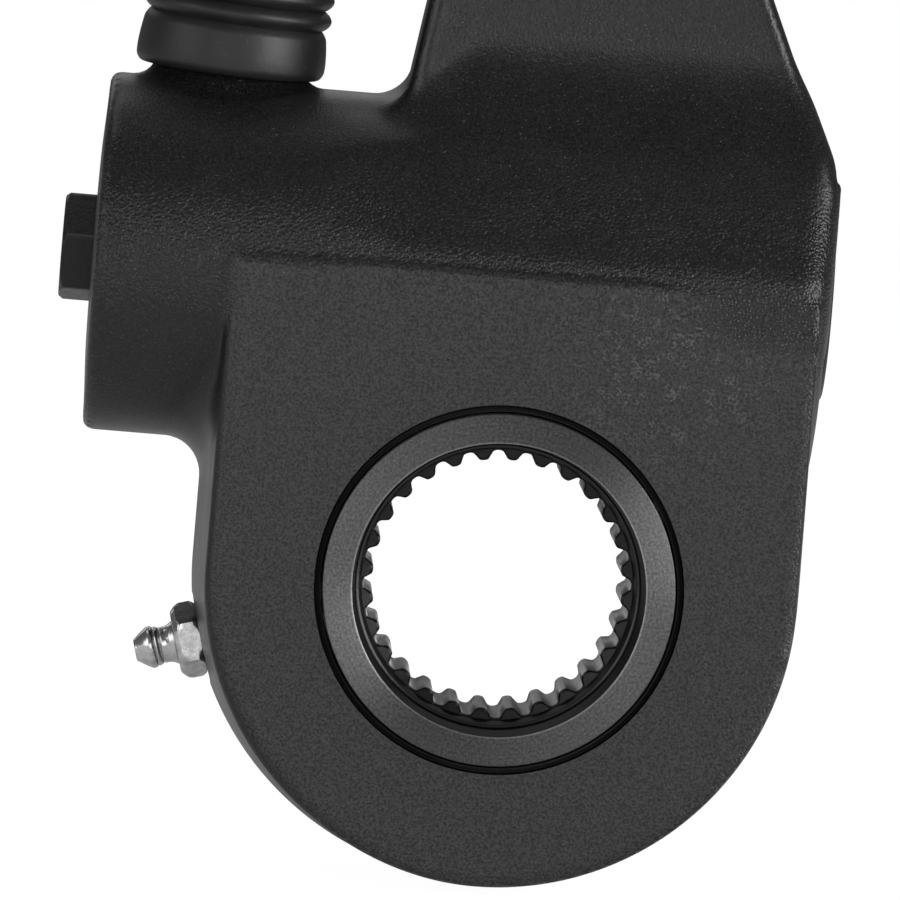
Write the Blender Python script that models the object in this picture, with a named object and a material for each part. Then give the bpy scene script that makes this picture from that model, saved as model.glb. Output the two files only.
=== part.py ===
"""Automatic brake slack adjuster, rack-and-clutch type.

Metres, +Z up. The origin is the middle of the camshaft bore, whose axis is Y. The front of the adjuster
faces -Y, its arm rises along +Z, and the brake chamber's push rod comes from -X.
"""
import math

import bmesh
import bpy
from mathutils import Vector

# Clearances
SEAT_GAP = 0.0003
RUNNING_GAP = 0.0003
TOOTH_BACKLASH = 0.0005
FORK_PLAY = 0.0010

# Small chamfers, and how far a cutter reaches past the face it cuts
SMALL_EDGE = 0.0006
CUT_PAST = 0.0100
OVERLAP = 0.0010

# Camshaft bore and hub
SPLINE_TEETH = 28
SPLINE_RADIUS = 0.01772
SPLINE_DEPTH = 0.00136
SPLINE_TIP_SHARE = 0.36
SPLINE_ROOT_SHARE = 0.13
HUB_RADIUS = 0.0249
HUB_PROUD = 0.0004
HUB_RECESS_RADIUS = 0.0207
HUB_RECESS_DEPTH = 0.0142
HUB_RECESS_TAPER = 0.0008
HUB_RECESS_STEP = 0.0005
HUB_RECESS_STEP_DEPTH = 0.0094

# Worm gearing
GEAR_MODULE = 0.0025
WHEEL_TEETH = 26
WHEEL_FACE = 0.020
WHEEL_CHAMBER_GAP = 0.0009
WORM_PITCH_RADIUS = 0.00995
WORM_BORE_GAP = 0.00075
WORM_LENGTH = 0.040
WORM_TAIL = 0.004
PRESSURE_ANGLE = math.radians(20)
TOOTH_ROOT_FACTOR = 1.2
THREAD_STEPS = 20
THREAD_FADE_STEPS = 6
THREAD_FADE_START = 0.15

# Spindle with the adjusting hexagon, along X
HEX_ACROSS_FLATS = 0.0140
HEX_TURN = math.radians(15.8)
HEX_STICK_OUT = 0.0045
HEX_SUNK = 0.0010
JOURNAL_SHOULDER = 0.0001
SPINDLE_RADIUS = 0.0046
SPINDLE_TIP = 0.006
SEAL_THICKNESS = 0.0012
SEAL_GROOVE_WIDTH = 0.0020

# Clutch pinion and rack
PINION_MODULE = 0.001
PINION_TEETH = 14
PINION_FACE = 0.0129
CLUTCH_HUB_RADIUS = 0.0082
CLUTCH_HUB_LENGTH = 0.0083
CLUTCH_WIRE_RADIUS = 0.00065
CLUTCH_COIL_GAP = 0.00035
CLUTCH_SPRING_TURNS = 6
RACK_X = -0.0440
RACK_Y = 0.0040
RACK_RADIUS = 0.0081
RACK_BAR_WIDTH = 0.0070
RACK_BAR_BELOW = 0.0105
RACK_HEAD_BELOW = 0.0175
RACK_HEAD_LENGTH = 0.0140
RACK_PIN_DROP = 0.0045
RACK_FLOOR_GAP = 0.0008
RACK_STROKE = 0.0082
WASHER_THICKNESS = 0.0014
SPINDLE_WASHER_RADIUS = 0.0088

# Link and its pins
LINK_PIN_RADIUS = 0.0017
LINK_ROD_RADIUS = 0.0034
LINK_FOOT_RADIUS = 0.0043
LINK_FOOT_WIDTH = 0.0050
LINK_EYE_WALL = 0.0035
LINK_SIDE_PLAY = 0.0007
LINK_EYE_FREEDOM = 0.00125
LINK_SHIFT_Y = 0.0008

# Housing casting
BARREL_WALL = 0.0076
FRONT_FACE = 0.0260
FRONT_CHAMFER = 0.0014
FRONT_DRAFT = 0.0013
BACK_DRAFT = 0.0005
SEAT_STEP = 0.0003
PAD_RISE = 0.00175
WORM_HOUSING_WALL = 0.0122
WORM_HOUSING_LEFT = 0.0612
WORM_HOUSING_LIP = 0.0004
LEFT_ROUNDING = 0.0012
RIGHT_ROUNDING = 0.0050
LEFT_WALL = 0.0077
NECK_WALL = 0.0020
NECK_RISE = 0.0070
NECK_FLARE = 0.0026
BOSS_FILLET = 0.0055
BOSS_FILLET_HALF_WIDTH = 0.0152
BOSS_FILLET_ROOT = 0.0050

# Arm and eye
ARM_LENGTH = 0.1397
ARM_SHOULDER_RISE = 0.0180
ARM_CORNER_RADIUS = 0.0115
ARM_RIGHT_SLOPE = math.radians(23.7)
ARM_LEFT_SLOPE = math.radians(8.5)
ARM_LEFT_FOOT = -0.0224
ARM_SIDE_STEP = 0.0003
ARM_ROOT_HALF = 0.0120
ARM_EYE_HALF = 0.0095
ARM_EDGE_ROUNDING = 0.0025
EYE_RADIUS = 0.0155
BUSHING_WALL = 0.0016

# Cover, gasket and screws
COVER_THICKNESS = 0.0027
COVER_EDGE_STEP = 0.0006
COVER_BOSS_RADIUS = 0.0310
GASKET_THICKNESS = 0.0006
GASKET_INNER_RADIUS = 0.0362
SCREW_COUNT = 6
SCREW_CIRCLE = 0.0393
SCREW_RADIUS = 0.00175
SCREW_DEPTH = 0.0085
SCREW_TIP_GAP = 0.0010
SCREW_HEAD_RADIUS = 0.0031
SCREW_HEAD_HEIGHT = 0.0018
SCREW_HEAD_CROWN = 0.0007
SCREW_SOCKET_FLATS = 0.0025
SCREW_SOCKET_DEPTH = 0.0011

# Hub seals and thrust washers
HUB_SEAL_WALL = 0.0008
HUB_SEAL_WIDTH = 0.0042
HUB_SEAL_SUNK = 0.0006
THRUST_WASHER_WALL = 0.0078

# Right-hand plug and the disc spring behind it, along X
PLUG_STICK_OUT = 0.0007
PLUG_WIDENING = 0.0005
DISC_SPRING_HEIGHT = 0.0044
DISC_SPRING_WALL = 0.0014
DISC_SPRING_PLAY = 0.0008

# Boot
BOOT_COLLAR_RADIUS = 0.01345
BOOT_COLLAR_LENGTH = 0.0070
BOOT_COLLAR_ROUNDING = 0.0014
BOOT_START = 0.0020
BOOT_BULGE_RADIUS = 0.0135
BOOT_GROOVE_RADIUS = 0.0125
BOOT_WALL = 0.0012
BOOT_PITCH = 0.0029
BOOT_FOLDS = 8
BOOT_TAPER_LENGTH = 0.0050
BOOT_CUFF_RADIUS = 0.0056
BOOT_CUFF_LENGTH = 0.0050
BOOT_FREEDOM = 0.0008

# Clevis and its pins
CLEVIS_PIN_RADIUS = 0.00635
CLEVIS_SMALL_PIN_RADIUS = 0.003175
PIN_SPACING = 0.0392
CLEVIS_EAR = 0.0065
CLEVIS_HEIGHT = 0.0254
CLEVIS_SLOT_REACH = 0.0100
CLEVIS_BLOCK_LENGTH = 0.0130
CLEVIS_BOSS_RADIUS = 0.0130
CLEVIS_BOSS_LENGTH = 0.0220
CLEVIS_EDGE = 0.0012
SOCKET_RADIUS = 0.0074
PIN_HEAD_WIDENING = 0.0031
PIN_HEAD_HEIGHT = 0.0040
SMALL_PIN_HEAD_WIDENING = 0.0020
SMALL_PIN_HEAD_HEIGHT = 0.0025
COTTER_HOLE_RADIUS = 0.0017
COTTER_WIRE_RADIUS = 0.00055
SMALL_COTTER_HOLE_RADIUS = 0.0012
SMALL_COTTER_WIRE_RADIUS = 0.0004
COTTER_PLAY = 0.0006
COTTER_LEG_GAP = 0.0001
PIN_TAIL = 0.0030

# Grease fitting, on the lower left side of the barrel
FITTING_ANGLE = math.radians(196)
FITTING_FLATS = 0.0095
FITTING_HEX_LENGTH = 0.0037
FITTING_SHANK_RADIUS = 0.0031
FITTING_NECK_RADIUS = 0.0024
FITTING_HEAD_RADIUS = 0.0031
FITTING_LENGTH = 0.0093
FITTING_FACE_RADIUS = 0.0064
FITTING_FACE_CUT = 0.0008
FITTING_LAP = 0.0004
FITTING_SHANK_GAP = 0.0007
BALL_RADIUS = 0.0013
BALL_DEPTH = 0.0022
SPRING_SEAT_DEPTH = 0.0010
GREASE_WIRE_RADIUS = 0.00018
GREASE_SPRING_TURNS = 4

# Values worked out from the sizes above
WHEEL_PITCH_RADIUS = GEAR_MODULE * WHEEL_TEETH / 2
WHEEL_TIP_RADIUS = WHEEL_PITCH_RADIUS + GEAR_MODULE
CHAMBER_RADIUS = WHEEL_TIP_RADIUS + WHEEL_CHAMBER_GAP
BARREL_RADIUS = CHAMBER_RADIUS + BARREL_WALL
WORM_AXIS_Z = WHEEL_PITCH_RADIUS + WORM_PITCH_RADIUS
WORM_TIP_RADIUS = WORM_PITCH_RADIUS + GEAR_MODULE
WORM_ROOT_RADIUS = WORM_PITCH_RADIUS - TOOTH_ROOT_FACTOR * GEAR_MODULE
WORM_BORE_RADIUS = WORM_TIP_RADIUS + WORM_BORE_GAP
WORM_HOUSING_RADIUS = WORM_BORE_RADIUS + WORM_HOUSING_WALL
WORM_HOUSING_RIGHT = BARREL_RADIUS + WORM_HOUSING_LIP
THREAD_PITCH = math.pi * GEAR_MODULE
LEFT_SHOULDER_X = LEFT_WALL - WORM_HOUSING_LEFT
JOURNAL_RADIUS = HEX_ACROSS_FLATS / math.sqrt(3) + JOURNAL_SHOULDER
WASHER_X = LEFT_SHOULDER_X + SEAT_GAP
PINION_X = WASHER_X + WASHER_THICKNESS + SEAT_GAP
CLUTCH_GAP_X = PINION_X + PINION_FACE + CLUTCH_HUB_LENGTH
WORM_START_X = CLUTCH_GAP_X + SEAT_GAP
WORM_END_X = WORM_LENGTH / 2 + WORM_TAIL
WORM_WASHER_X = WORM_END_X + SEAT_GAP
DISC_SPRING_X = WORM_WASHER_X + WASHER_THICKNESS + SEAT_GAP
PLUG_END_X = BARREL_RADIUS + PLUG_STICK_OUT
PLUG_X = DISC_SPRING_X + DISC_SPRING_HEIGHT + SEAT_GAP
PLUG_SEAT_RADIUS = WORM_BORE_RADIUS + PLUG_WIDENING
PLUG_RADIUS = PLUG_SEAT_RADIUS - SEAT_GAP
HUB_BORE_RADIUS = HUB_RADIUS + RUNNING_GAP
HUB_SEAL_GROOVE_RADIUS = HUB_BORE_RADIUS + HUB_SEAL_WALL + SEAT_GAP
PINION_PITCH_RADIUS = PINION_MODULE * PINION_TEETH / 2
RACK_BORE_RADIUS = RACK_RADIUS + RUNNING_GAP
RACK_BAR_Z = WORM_AXIS_Z - RACK_BAR_BELOW
RACK_BORE_Z = RACK_BAR_Z - RACK_STROKE - RACK_FLOOR_GAP
RACK_HEAD_Z = WORM_AXIS_Z + RACK_HEAD_BELOW
RACK_TOP_Z = RACK_HEAD_Z + RACK_HEAD_LENGTH
LINK_PIN_Z = RACK_TOP_Z - RACK_PIN_DROP
NECK_RADIUS = RACK_BORE_RADIUS + NECK_WALL
BOSS_TOP_Z = WORM_AXIS_Z + WORM_HOUSING_RADIUS
NECK_TOP_Z = BOSS_TOP_Z + NECK_RISE
BUSHING_BORE = CLEVIS_PIN_RADIUS + RUNNING_GAP
BUSHING_RADIUS = BUSHING_BORE + BUSHING_WALL
COVER_Y = FRONT_FACE - COVER_THICKNESS
GASKET_Y = COVER_Y - SEAT_GAP - GASKET_THICKNESS
COVER_SEAT = GASKET_Y - SEAT_GAP
HUB_HALF_WIDTH = FRONT_FACE + HUB_PROUD
CHAMBER_FLOOR = WHEEL_FACE / 2 + WASHER_THICKNESS + 2 * SEAT_GAP
COVER_RADIUS = BARREL_RADIUS - COVER_EDGE_STEP
SMALL_HOLE_RADIUS = CLEVIS_SMALL_PIN_RADIUS + RUNNING_GAP
LINK_HOLE_RADIUS = CLEVIS_SMALL_PIN_RADIUS + LINK_EYE_FREEDOM
LINK_EYE_RADIUS = LINK_HOLE_RADIUS + LINK_EYE_WALL
FORK_HALF = ARM_EYE_HALF + FORK_PLAY
CLEVIS_HALF = FORK_HALF + CLEVIS_EAR
LINK_FOOT = Vector((RACK_X, RACK_Y, LINK_PIN_Z))
LINK_HEAD = Vector((-PIN_SPACING, LINK_SHIFT_Y, ARM_LENGTH))
LINK_EYE_HALF = FORK_HALF - LINK_SHIFT_Y - LINK_SIDE_PLAY

MANY_HOLES = ("housing", "back_cover", "cover_gasket", "worm")

ALONG_X = (0, math.radians(90), 0)
ALONG_Y = (math.radians(-90), 0, 0)


def clear_scene():
    """Removes whatever the scene holds at the start."""
    for item in list(bpy.context.scene.objects):
        bpy.data.objects.remove(item, do_unlink=True)


def surface(name, colour, roughness, metallic):
    """A plain Principled material."""
    material = bpy.data.materials.new(name)
    material.use_nodes = True
    shader = material.node_tree.nodes["Principled BSDF"]
    shader.inputs["Base Color"].default_value = (*colour, 1.0)
    shader.inputs["Roughness"].default_value = roughness
    shader.inputs["Metallic"].default_value = metallic
    return material


def paint(name):
    """Black paint over cast iron."""
    return surface(name, (0.035, 0.036, 0.038), 0.5, 0.0)


def steel(name, level=0.35):
    """Bare or oiled steel of a given grey level."""
    return surface(name, (level, level, level), 0.35, 1.0)


def rubber(name):
    """Black rubber."""
    return surface(name, (0.02, 0.02, 0.021), 0.6, 0.0)


def zinc(name):
    """Bright zinc plating."""
    return surface(name, (0.72, 0.73, 0.72), 0.25, 1.0)


def joint_axis(name, location):
    """An empty on a joint's axis, which carries the pieces that move about it."""
    empty = bpy.data.objects.new(name, None)
    empty.location = location
    empty.empty_display_size = 0.01
    bpy.context.collection.objects.link(empty)
    return empty


def make(name, mesh_parts, material, location=(0, 0, 0), rotation=(0, 0, 0), carrier=None):
    """Turns a bmesh into a named object at a world place, under its carrier."""
    bmesh.ops.recalc_face_normals(mesh_parts, faces=mesh_parts.faces)
    mesh = bpy.data.meshes.new(name)
    mesh_parts.to_mesh(mesh)
    mesh_parts.free()
    if material:
        mesh.materials.append(material)
    mesh.shade_smooth()
    mesh.set_sharp_from_angle(angle=math.radians(32))
    item = bpy.data.objects.new(name, mesh)
    bpy.context.collection.objects.link(item)
    item.location = Vector(location)
    item.rotation_euler = rotation
    if carrier:
        item.parent = carrier
        item.location = Vector(location) - carrier.location
    return item


def guide(name, mesh_parts, location=(0, 0, 0), rotation=(0, 0, 0), carrier=None):
    """A cutter or an addition that only shapes another object."""
    item = make(name, mesh_parts, None, location, rotation, carrier)
    item.hide_render = True
    item.display_type = "WIRE"
    return item


def combine(target, other, operation):
    """Adds a live Boolean. The exact solver leaves open edges on the pieces with many thin-walled holes."""
    modifier = target.modifiers.new(other.name, "BOOLEAN")
    modifier.operation = operation
    modifier.solver = "MANIFOLD" if target.name in MANY_HOLES else "EXACT"
    modifier.object = other


def add(target, *others):
    """Joins the other solids to the target."""
    for other in others:
        combine(target, other, "UNION")


def cut(target, *others):
    """Takes the other solids away from the target."""
    for other in others:
        combine(target, other, "DIFFERENCE")


def turned(profile, sides=32):
    """A solid of revolution about local Z from a closed loop of (radius, height) points."""
    parts = bmesh.new()
    loop = [parts.verts.new((radius, 0, height)) for radius, height in profile]
    rim = []
    for index, vertex in enumerate(loop):
        before = loop[index - 1]
        if vertex.co.x > 0 or before.co.x > 0:
            rim.append(parts.edges.new((before, vertex)))
    bmesh.ops.spin(parts, geom=loop + rim, cent=(0, 0, 0), axis=(0, 0, 1),
                   angle=2 * math.pi, steps=sides, use_merge=True)
    bmesh.ops.remove_doubles(parts, verts=parts.verts, dist=1e-6)
    return parts


def disc(radius, low, high, sides=32):
    """A plain cylinder along local Z."""
    return turned([(0, low), (radius, low), (radius, high), (0, high)], sides)


def ring(inner, outer, low, high, sides=32):
    """A plain ring along local Z."""
    return turned([(inner, low), (outer, low), (outer, high), (inner, high)], sides)


def round_ring(centre_radius, thickness, height, sides=24, points=6):
    """An O-ring about local Z."""
    profile = []
    for step in range(points):
        angle = 2 * math.pi * step / points
        radius = centre_radius + thickness / 2 * math.cos(angle)
        profile.append((radius, height + thickness / 2 * math.sin(angle)))
    return turned(profile, sides)


def lofted(sections):
    """A closed solid through outlines with the same number of points each."""
    parts = bmesh.new()
    rows = [[parts.verts.new(point) for point in section] for section in sections]
    count = len(rows[0])
    for lower, upper in zip(rows, rows[1:]):
        for index in range(count):
            following = (index + 1) % count
            parts.faces.new((lower[index], lower[following], upper[following], upper[index]))
    parts.faces.new(rows[0])
    parts.faces.new(rows[-1])
    return parts


def prism(outline, low, high):
    """An outline in local XY carried along local Z."""
    return lofted([[(x, y, height) for x, y in outline] for height in (low, high)])


def block(low, high):
    """A rectangular block between two corners."""
    outline = [(low[0], low[1]), (high[0], low[1]), (high[0], high[1]), (low[0], high[1])]
    return prism(outline, low[2], high[2])


def arc(centre, radius, start, end, steps):
    """Points on a circular arc, both ends included; angles in degrees."""
    points = []
    for step in range(steps + 1):
        angle = math.radians(start + (end - start) * step / steps)
        points.append((centre[0] + radius * math.cos(angle), centre[1] + radius * math.sin(angle)))
    return points


def hexagon(across_flats, flat_angle=0.0):
    """A hexagon with one flat facing flat_angle."""
    radius = across_flats / math.sqrt(3)
    points = []
    for corner in range(6):
        angle = flat_angle + math.radians(30 + 60 * corner)
        points.append((radius * math.cos(angle), radius * math.sin(angle)))
    return points


def swept(path, radius, sides=6):
    """A round wire along a list of points, with flat ends."""
    points = [Vector(point) for point in path]
    sections = []
    normal = None
    for index, point in enumerate(points):
        ahead = points[min(index + 1, len(points) - 1)]
        behind = points[max(index - 1, 0)]
        tangent = (ahead - behind).normalized()
        if normal is None:
            normal = tangent.orthogonal().normalized()
        normal = (normal - tangent * normal.dot(tangent)).normalized()
        side = tangent.cross(normal)
        section = []
        for step in range(sides):
            angle = 2 * math.pi * step / sides
            section.append(point + radius * (math.cos(angle) * normal + math.sin(angle) * side))
        sections.append(section)
    return lofted(sections)


def coil(radius, pitch, turns, wire_radius, start, steps=12, sides=4):
    """A coil spring about local Z."""
    path = []
    for step in range(int(turns * steps) + 1):
        angle = 2 * math.pi * step / steps
        height = start + pitch * step / steps
        path.append((radius * math.cos(angle), radius * math.sin(angle), height))
    return swept(path, wire_radius, sides)


def gear_outline(teeth, module, tooth_angle, turn=0.0):
    """Involute teeth with one tooth centred at tooth_angle; three points to a flank."""
    pitch_radius = module * teeth / 2
    base_radius = pitch_radius * math.cos(PRESSURE_ANGLE)
    root = pitch_radius - TOOTH_ROOT_FACTOR * module
    tip = pitch_radius + module
    involute = math.tan(PRESSURE_ANGLE) - PRESSURE_ANGLE
    half_at_pitch = math.pi / (2 * teeth) - TOOTH_BACKLASH / (4 * pitch_radius)

    def half_angle(radius):
        if radius <= base_radius:
            return half_at_pitch + involute
        pressure = math.acos(base_radius / radius)
        return half_at_pitch + involute - (math.tan(pressure) - pressure)

    points = []
    for tooth in range(teeth):
        centre = tooth_angle + turn + 2 * math.pi * tooth / teeth
        flank = [(radius, half_angle(radius)) for radius in (root, pitch_radius, tip)]
        for radius, half in flank:
            angle = centre - half
            points.append((radius * math.cos(angle), radius * math.sin(angle)))
        for radius, half in reversed(flank):
            angle = centre + half
            points.append((radius * math.cos(angle), radius * math.sin(angle)))
    return points


def spline_outline():
    """The hole left by the straight teeth of the camshaft bore, a tooth space at the top."""
    pitch_angle = 2 * math.pi / SPLINE_TEETH
    points = []
    for tooth in range(SPLINE_TEETH):
        centre = -math.pi / 2 + tooth * pitch_angle
        root = SPLINE_RADIUS + SPLINE_DEPTH
        for share, radius in ((-SPLINE_TIP_SHARE, SPLINE_RADIUS), (-SPLINE_ROOT_SHARE, root),
                              (SPLINE_ROOT_SHARE, root), (SPLINE_TIP_SHARE, SPLINE_RADIUS)):
            angle = centre + share * pitch_angle
            points.append((radius * math.cos(angle), radius * math.sin(angle)))
    return points


def barrel_outline(inset):
    """The barrel seen from the front: a half round below, straight sides up to the worm housing."""
    radius = BARREL_RADIUS - inset
    top = WORM_AXIS_Z + PAD_RISE
    return [(radius, top)] + arc((0, 0), radius, 360, 180, 24) + [(-radius, top)]


def edge_to_eye(start, direction, eye_radius):
    """How far a straight edge runs from its start until it meets the round eye."""
    offset = Vector((start[0], start[1] - ARM_LENGTH))
    along = offset.dot(direction)
    reach = math.sqrt(max(along * along - offset.length_squared + eye_radius ** 2, 0))
    return Vector(start) + direction * (-along - reach)


def arm_outline(inset):
    """The arm seen from the front, from inside the worm housing up to the round eye."""
    side = BARREL_RADIUS - ARM_SIDE_STEP
    corner = (side - ARM_CORNER_RADIUS, WORM_AXIS_Z + ARM_SHOULDER_RISE)
    shoulder = arc(corner, ARM_CORNER_RADIUS - inset, 0, math.degrees(ARM_RIGHT_SLOPE), 4)
    right = Vector((-math.sin(ARM_RIGHT_SLOPE), math.cos(ARM_RIGHT_SLOPE)))
    left = Vector((math.sin(ARM_LEFT_SLOPE), math.cos(ARM_LEFT_SLOPE)))
    foot = (ARM_LEFT_FOOT + inset / math.cos(ARM_LEFT_SLOPE), WORM_AXIS_Z)
    meets_right = edge_to_eye(shoulder[-1], right, EYE_RADIUS - inset)
    meets_left = edge_to_eye(foot, left, EYE_RADIUS - inset)
    start = math.degrees(math.atan2(meets_right.y - ARM_LENGTH, meets_right.x))
    end = math.degrees(math.atan2(meets_left.y - ARM_LENGTH, meets_left.x)) % 360
    eye = arc((0, ARM_LENGTH), EYE_RADIUS - inset, start, end, 16)
    return [foot, (side - inset, WORM_AXIS_Z)] + shoulder + eye


def arm_half_thickness(height):
    """The arm thins evenly from the worm housing to the eye."""
    share = (height - WORM_AXIS_Z) / (ARM_LENGTH - WORM_AXIS_Z)
    return ARM_ROOT_HALF + (ARM_EYE_HALF - ARM_ROOT_HALF) * share


def arm_solid():
    """The arm with rounded long edges."""
    edge = ARM_EDGE_ROUNDING
    steps = [(edge, 0), (0, edge)]
    levels = [(-1, *step) for step in steps] + [(1, *step) for step in reversed(steps)]
    sections = []
    for sign, inset, depth in levels:
        outline = arm_outline(inset)
        sections.append([(x, sign * (arm_half_thickness(z) - depth), z) for x, z in outline])
    return lofted(sections)


def barrel_solid():
    """The barrel from its front pad to the seat of the cover, with draft on its sides."""
    levels = [(-FRONT_FACE, FRONT_DRAFT + FRONT_CHAMFER), (FRONT_CHAMFER - FRONT_FACE, FRONT_DRAFT),
              (0, 0), (COVER_SEAT + SEAT_STEP, BACK_DRAFT)]
    return lofted([[(x, y, z) for x, z in barrel_outline(inset)] for y, inset in levels])


def worm_housing_solid():
    """The round worm housing along local Z, with rounded ends."""
    radius = WORM_HOUSING_RADIUS
    left = [(radius - LEFT_ROUNDING + x, -WORM_HOUSING_LEFT + LEFT_ROUNDING + z)
            for x, z in arc((0, 0), LEFT_ROUNDING, -90, 0, 2)]
    right = [(radius - RIGHT_ROUNDING + x, WORM_HOUSING_RIGHT - RIGHT_ROUNDING + z)
             for x, z in arc((0, 0), RIGHT_ROUNDING, 0, 90, 3)]
    return turned([(0, -WORM_HOUSING_LEFT)] + left + right + [(0, WORM_HOUSING_RIGHT)], 40)


def neck_solid():
    """The short neck that the boot grips, flared where it leaves the worm housing."""
    foot = NECK_RADIUS + NECK_FLARE
    flare = arc((foot, BOSS_TOP_Z + NECK_FLARE / 2), NECK_FLARE, 270, 180, 2)
    top = [(NECK_RADIUS, NECK_TOP_Z), (0, NECK_TOP_Z)]
    return turned([(0, WORM_AXIS_Z), (foot, WORM_AXIS_Z)] + flare + top, 24)


def side_fillet_solid():
    """The hollow fillet between the bottom of the worm housing and the left side of the barrel."""
    bottom = WORM_AXIS_Z - WORM_HOUSING_RADIUS
    side = BARREL_RADIUS - BACK_DRAFT
    hollow = arc((-side - BOSS_FILLET, bottom - BOSS_FILLET), BOSS_FILLET, 90, 0, 5)
    outline = hollow + [(BOSS_FILLET_ROOT - side, bottom - BOSS_FILLET),
                        (BOSS_FILLET_ROOT - side, WORM_AXIS_Z), (-side - BOSS_FILLET, WORM_AXIS_Z)]
    half = BOSS_FILLET_HALF_WIDTH
    middle_shift, end_shift = 0.1 * BOSS_FILLET, 0.4 * BOSS_FILLET
    levels = ((-half, end_shift), (-half / 2, middle_shift), (half / 2, middle_shift), (half, end_shift))
    return lofted([[(x + 0.3 * shift, y, z + shift) for x, z in outline] for y, shift in levels])


def build_housing():
    """The painted iron casting with all its bores."""
    housing = make("housing", barrel_solid(), paint("housing_paint"))
    worm_line = (0, 0, WORM_AXIS_Z)
    add(housing,
        guide("worm_housing_form", worm_housing_solid(), worm_line, ALONG_X),
        guide("arm_form", arm_solid()),
        guide("neck_form", neck_solid(), (RACK_X, RACK_Y, 0)),
        guide("side_fillet_form", side_fillet_solid()))

    past = CUT_PAST
    chamber = disc(CHAMBER_RADIUS, -CHAMBER_FLOOR, FRONT_FACE + past, 40)
    seat = disc(BARREL_RADIUS, COVER_SEAT, FRONT_FACE + past, 40)
    worm_bore = turned([
        (0, -WORM_HOUSING_LEFT - past), (JOURNAL_RADIUS + RUNNING_GAP, -WORM_HOUSING_LEFT - past),
        (JOURNAL_RADIUS + RUNNING_GAP, LEFT_SHOULDER_X), (WORM_BORE_RADIUS, LEFT_SHOULDER_X),
        (WORM_BORE_RADIUS, PLUG_X), (PLUG_SEAT_RADIUS, PLUG_X),
        (PLUG_SEAT_RADIUS, WORM_HOUSING_RIGHT + past), (0, WORM_HOUSING_RIGHT + past)])
    rack_bore = disc(RACK_BORE_RADIUS, RACK_BORE_Z, NECK_TOP_Z + past, 24)
    seal_floor = -FRONT_FACE + HUB_SEAL_SUNK + HUB_SEAL_WIDTH + SEAT_GAP
    hub_bore = turned([
        (0, -FRONT_FACE - past), (HUB_SEAL_GROOVE_RADIUS, -FRONT_FACE - past),
        (HUB_SEAL_GROOVE_RADIUS, seal_floor), (HUB_BORE_RADIUS, seal_floor),
        (HUB_BORE_RADIUS, OVERLAP - CHAMBER_FLOOR), (0, OVERLAP - CHAMBER_FLOOR)], 40)
    eye_bore = disc(BUSHING_RADIUS + SEAT_GAP, -ARM_ROOT_HALF - past, ARM_ROOT_HALF + past, 24)
    cut(housing,
        guide("wheel_chamber", chamber, rotation=ALONG_Y),
        guide("cover_seat", seat, rotation=ALONG_Y),
        guide("worm_bore", worm_bore, worm_line, ALONG_X),
        guide("rack_bore", rack_bore, (RACK_X, RACK_Y, 0)),
        guide("hub_bore", hub_bore, rotation=ALONG_Y),
        guide("eye_bore", eye_bore, (0, 0, ARM_LENGTH), ALONG_Y))
    for number, (x, z) in enumerate(screw_places(), 1):
        hole = disc(SCREW_RADIUS + SEAT_GAP, COVER_SEAT - SCREW_DEPTH, COVER_SEAT + past, 10)
        cut(housing, guide(f"screw_hole_{number}", hole, (x, 0, z), ALONG_Y))
    face = BARREL_RADIUS - FITTING_FACE_CUT
    start = CHAMBER_RADIUS - 2 * OVERLAP
    fitting_hole = turned([
        (0, start), (FITTING_SHANK_RADIUS + SEAT_GAP, start),
        (FITTING_SHANK_RADIUS + SEAT_GAP, face), (FITTING_FACE_RADIUS, face),
        (FITTING_FACE_RADIUS, face + past), (0, face + past)], 24)
    cut(housing, guide("fitting_hole", fitting_hole, rotation=fitting_rotation()))
    return housing


def screw_places():
    """The places of the cover screws, evenly spaced round the bore."""
    places = []
    for number in range(SCREW_COUNT):
        angle = 2 * math.pi * number / SCREW_COUNT
        places.append((SCREW_CIRCLE * math.cos(angle), SCREW_CIRCLE * math.sin(angle)))
    return places


def fitting_rotation():
    """Turns local Z to the radial direction of the grease fitting, in the XZ plane."""
    return (0, math.pi / 2 - FITTING_ANGLE, 0)


def build_cover():
    """The cover, its gasket and screws, the hub seals and the thrust washers."""
    seal_floor = FRONT_FACE - HUB_SEAL_SUNK - HUB_SEAL_WIDTH - SEAT_GAP
    cover = make("back_cover", turned([
        (HUB_BORE_RADIUS, CHAMBER_FLOOR), (COVER_BOSS_RADIUS, CHAMBER_FLOOR), (COVER_BOSS_RADIUS, COVER_Y),
        (COVER_RADIUS, COVER_Y), (COVER_RADIUS, FRONT_FACE - SMALL_EDGE),
        (COVER_RADIUS - SMALL_EDGE, FRONT_FACE), (HUB_SEAL_GROOVE_RADIUS, FRONT_FACE),
        (HUB_SEAL_GROOVE_RADIUS, seal_floor), (HUB_BORE_RADIUS, seal_floor)], 40),
        steel("back_cover_steel", 0.12), rotation=ALONG_Y)
    gasket = make("cover_gasket",
                  ring(GASKET_INNER_RADIUS, COVER_RADIUS, GASKET_Y, GASKET_Y + GASKET_THICKNESS, 40),
                  surface("gasket_fibre", (0.10, 0.085, 0.07), 0.9, 0.0), rotation=ALONG_Y)
    for number, (x, z) in enumerate(screw_places(), 1):
        through = disc(SCREW_RADIUS + SEAT_GAP, COVER_SEAT - OVERLAP, FRONT_FACE + OVERLAP, 10)
        hole = guide(f"cover_hole_{number}", through, (x, 0, z), ALONG_Y)
        cut(cover, hole)
        cut(gasket, hole)
        build_screw(number, x, z)
    build_seal_and_washer()


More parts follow.
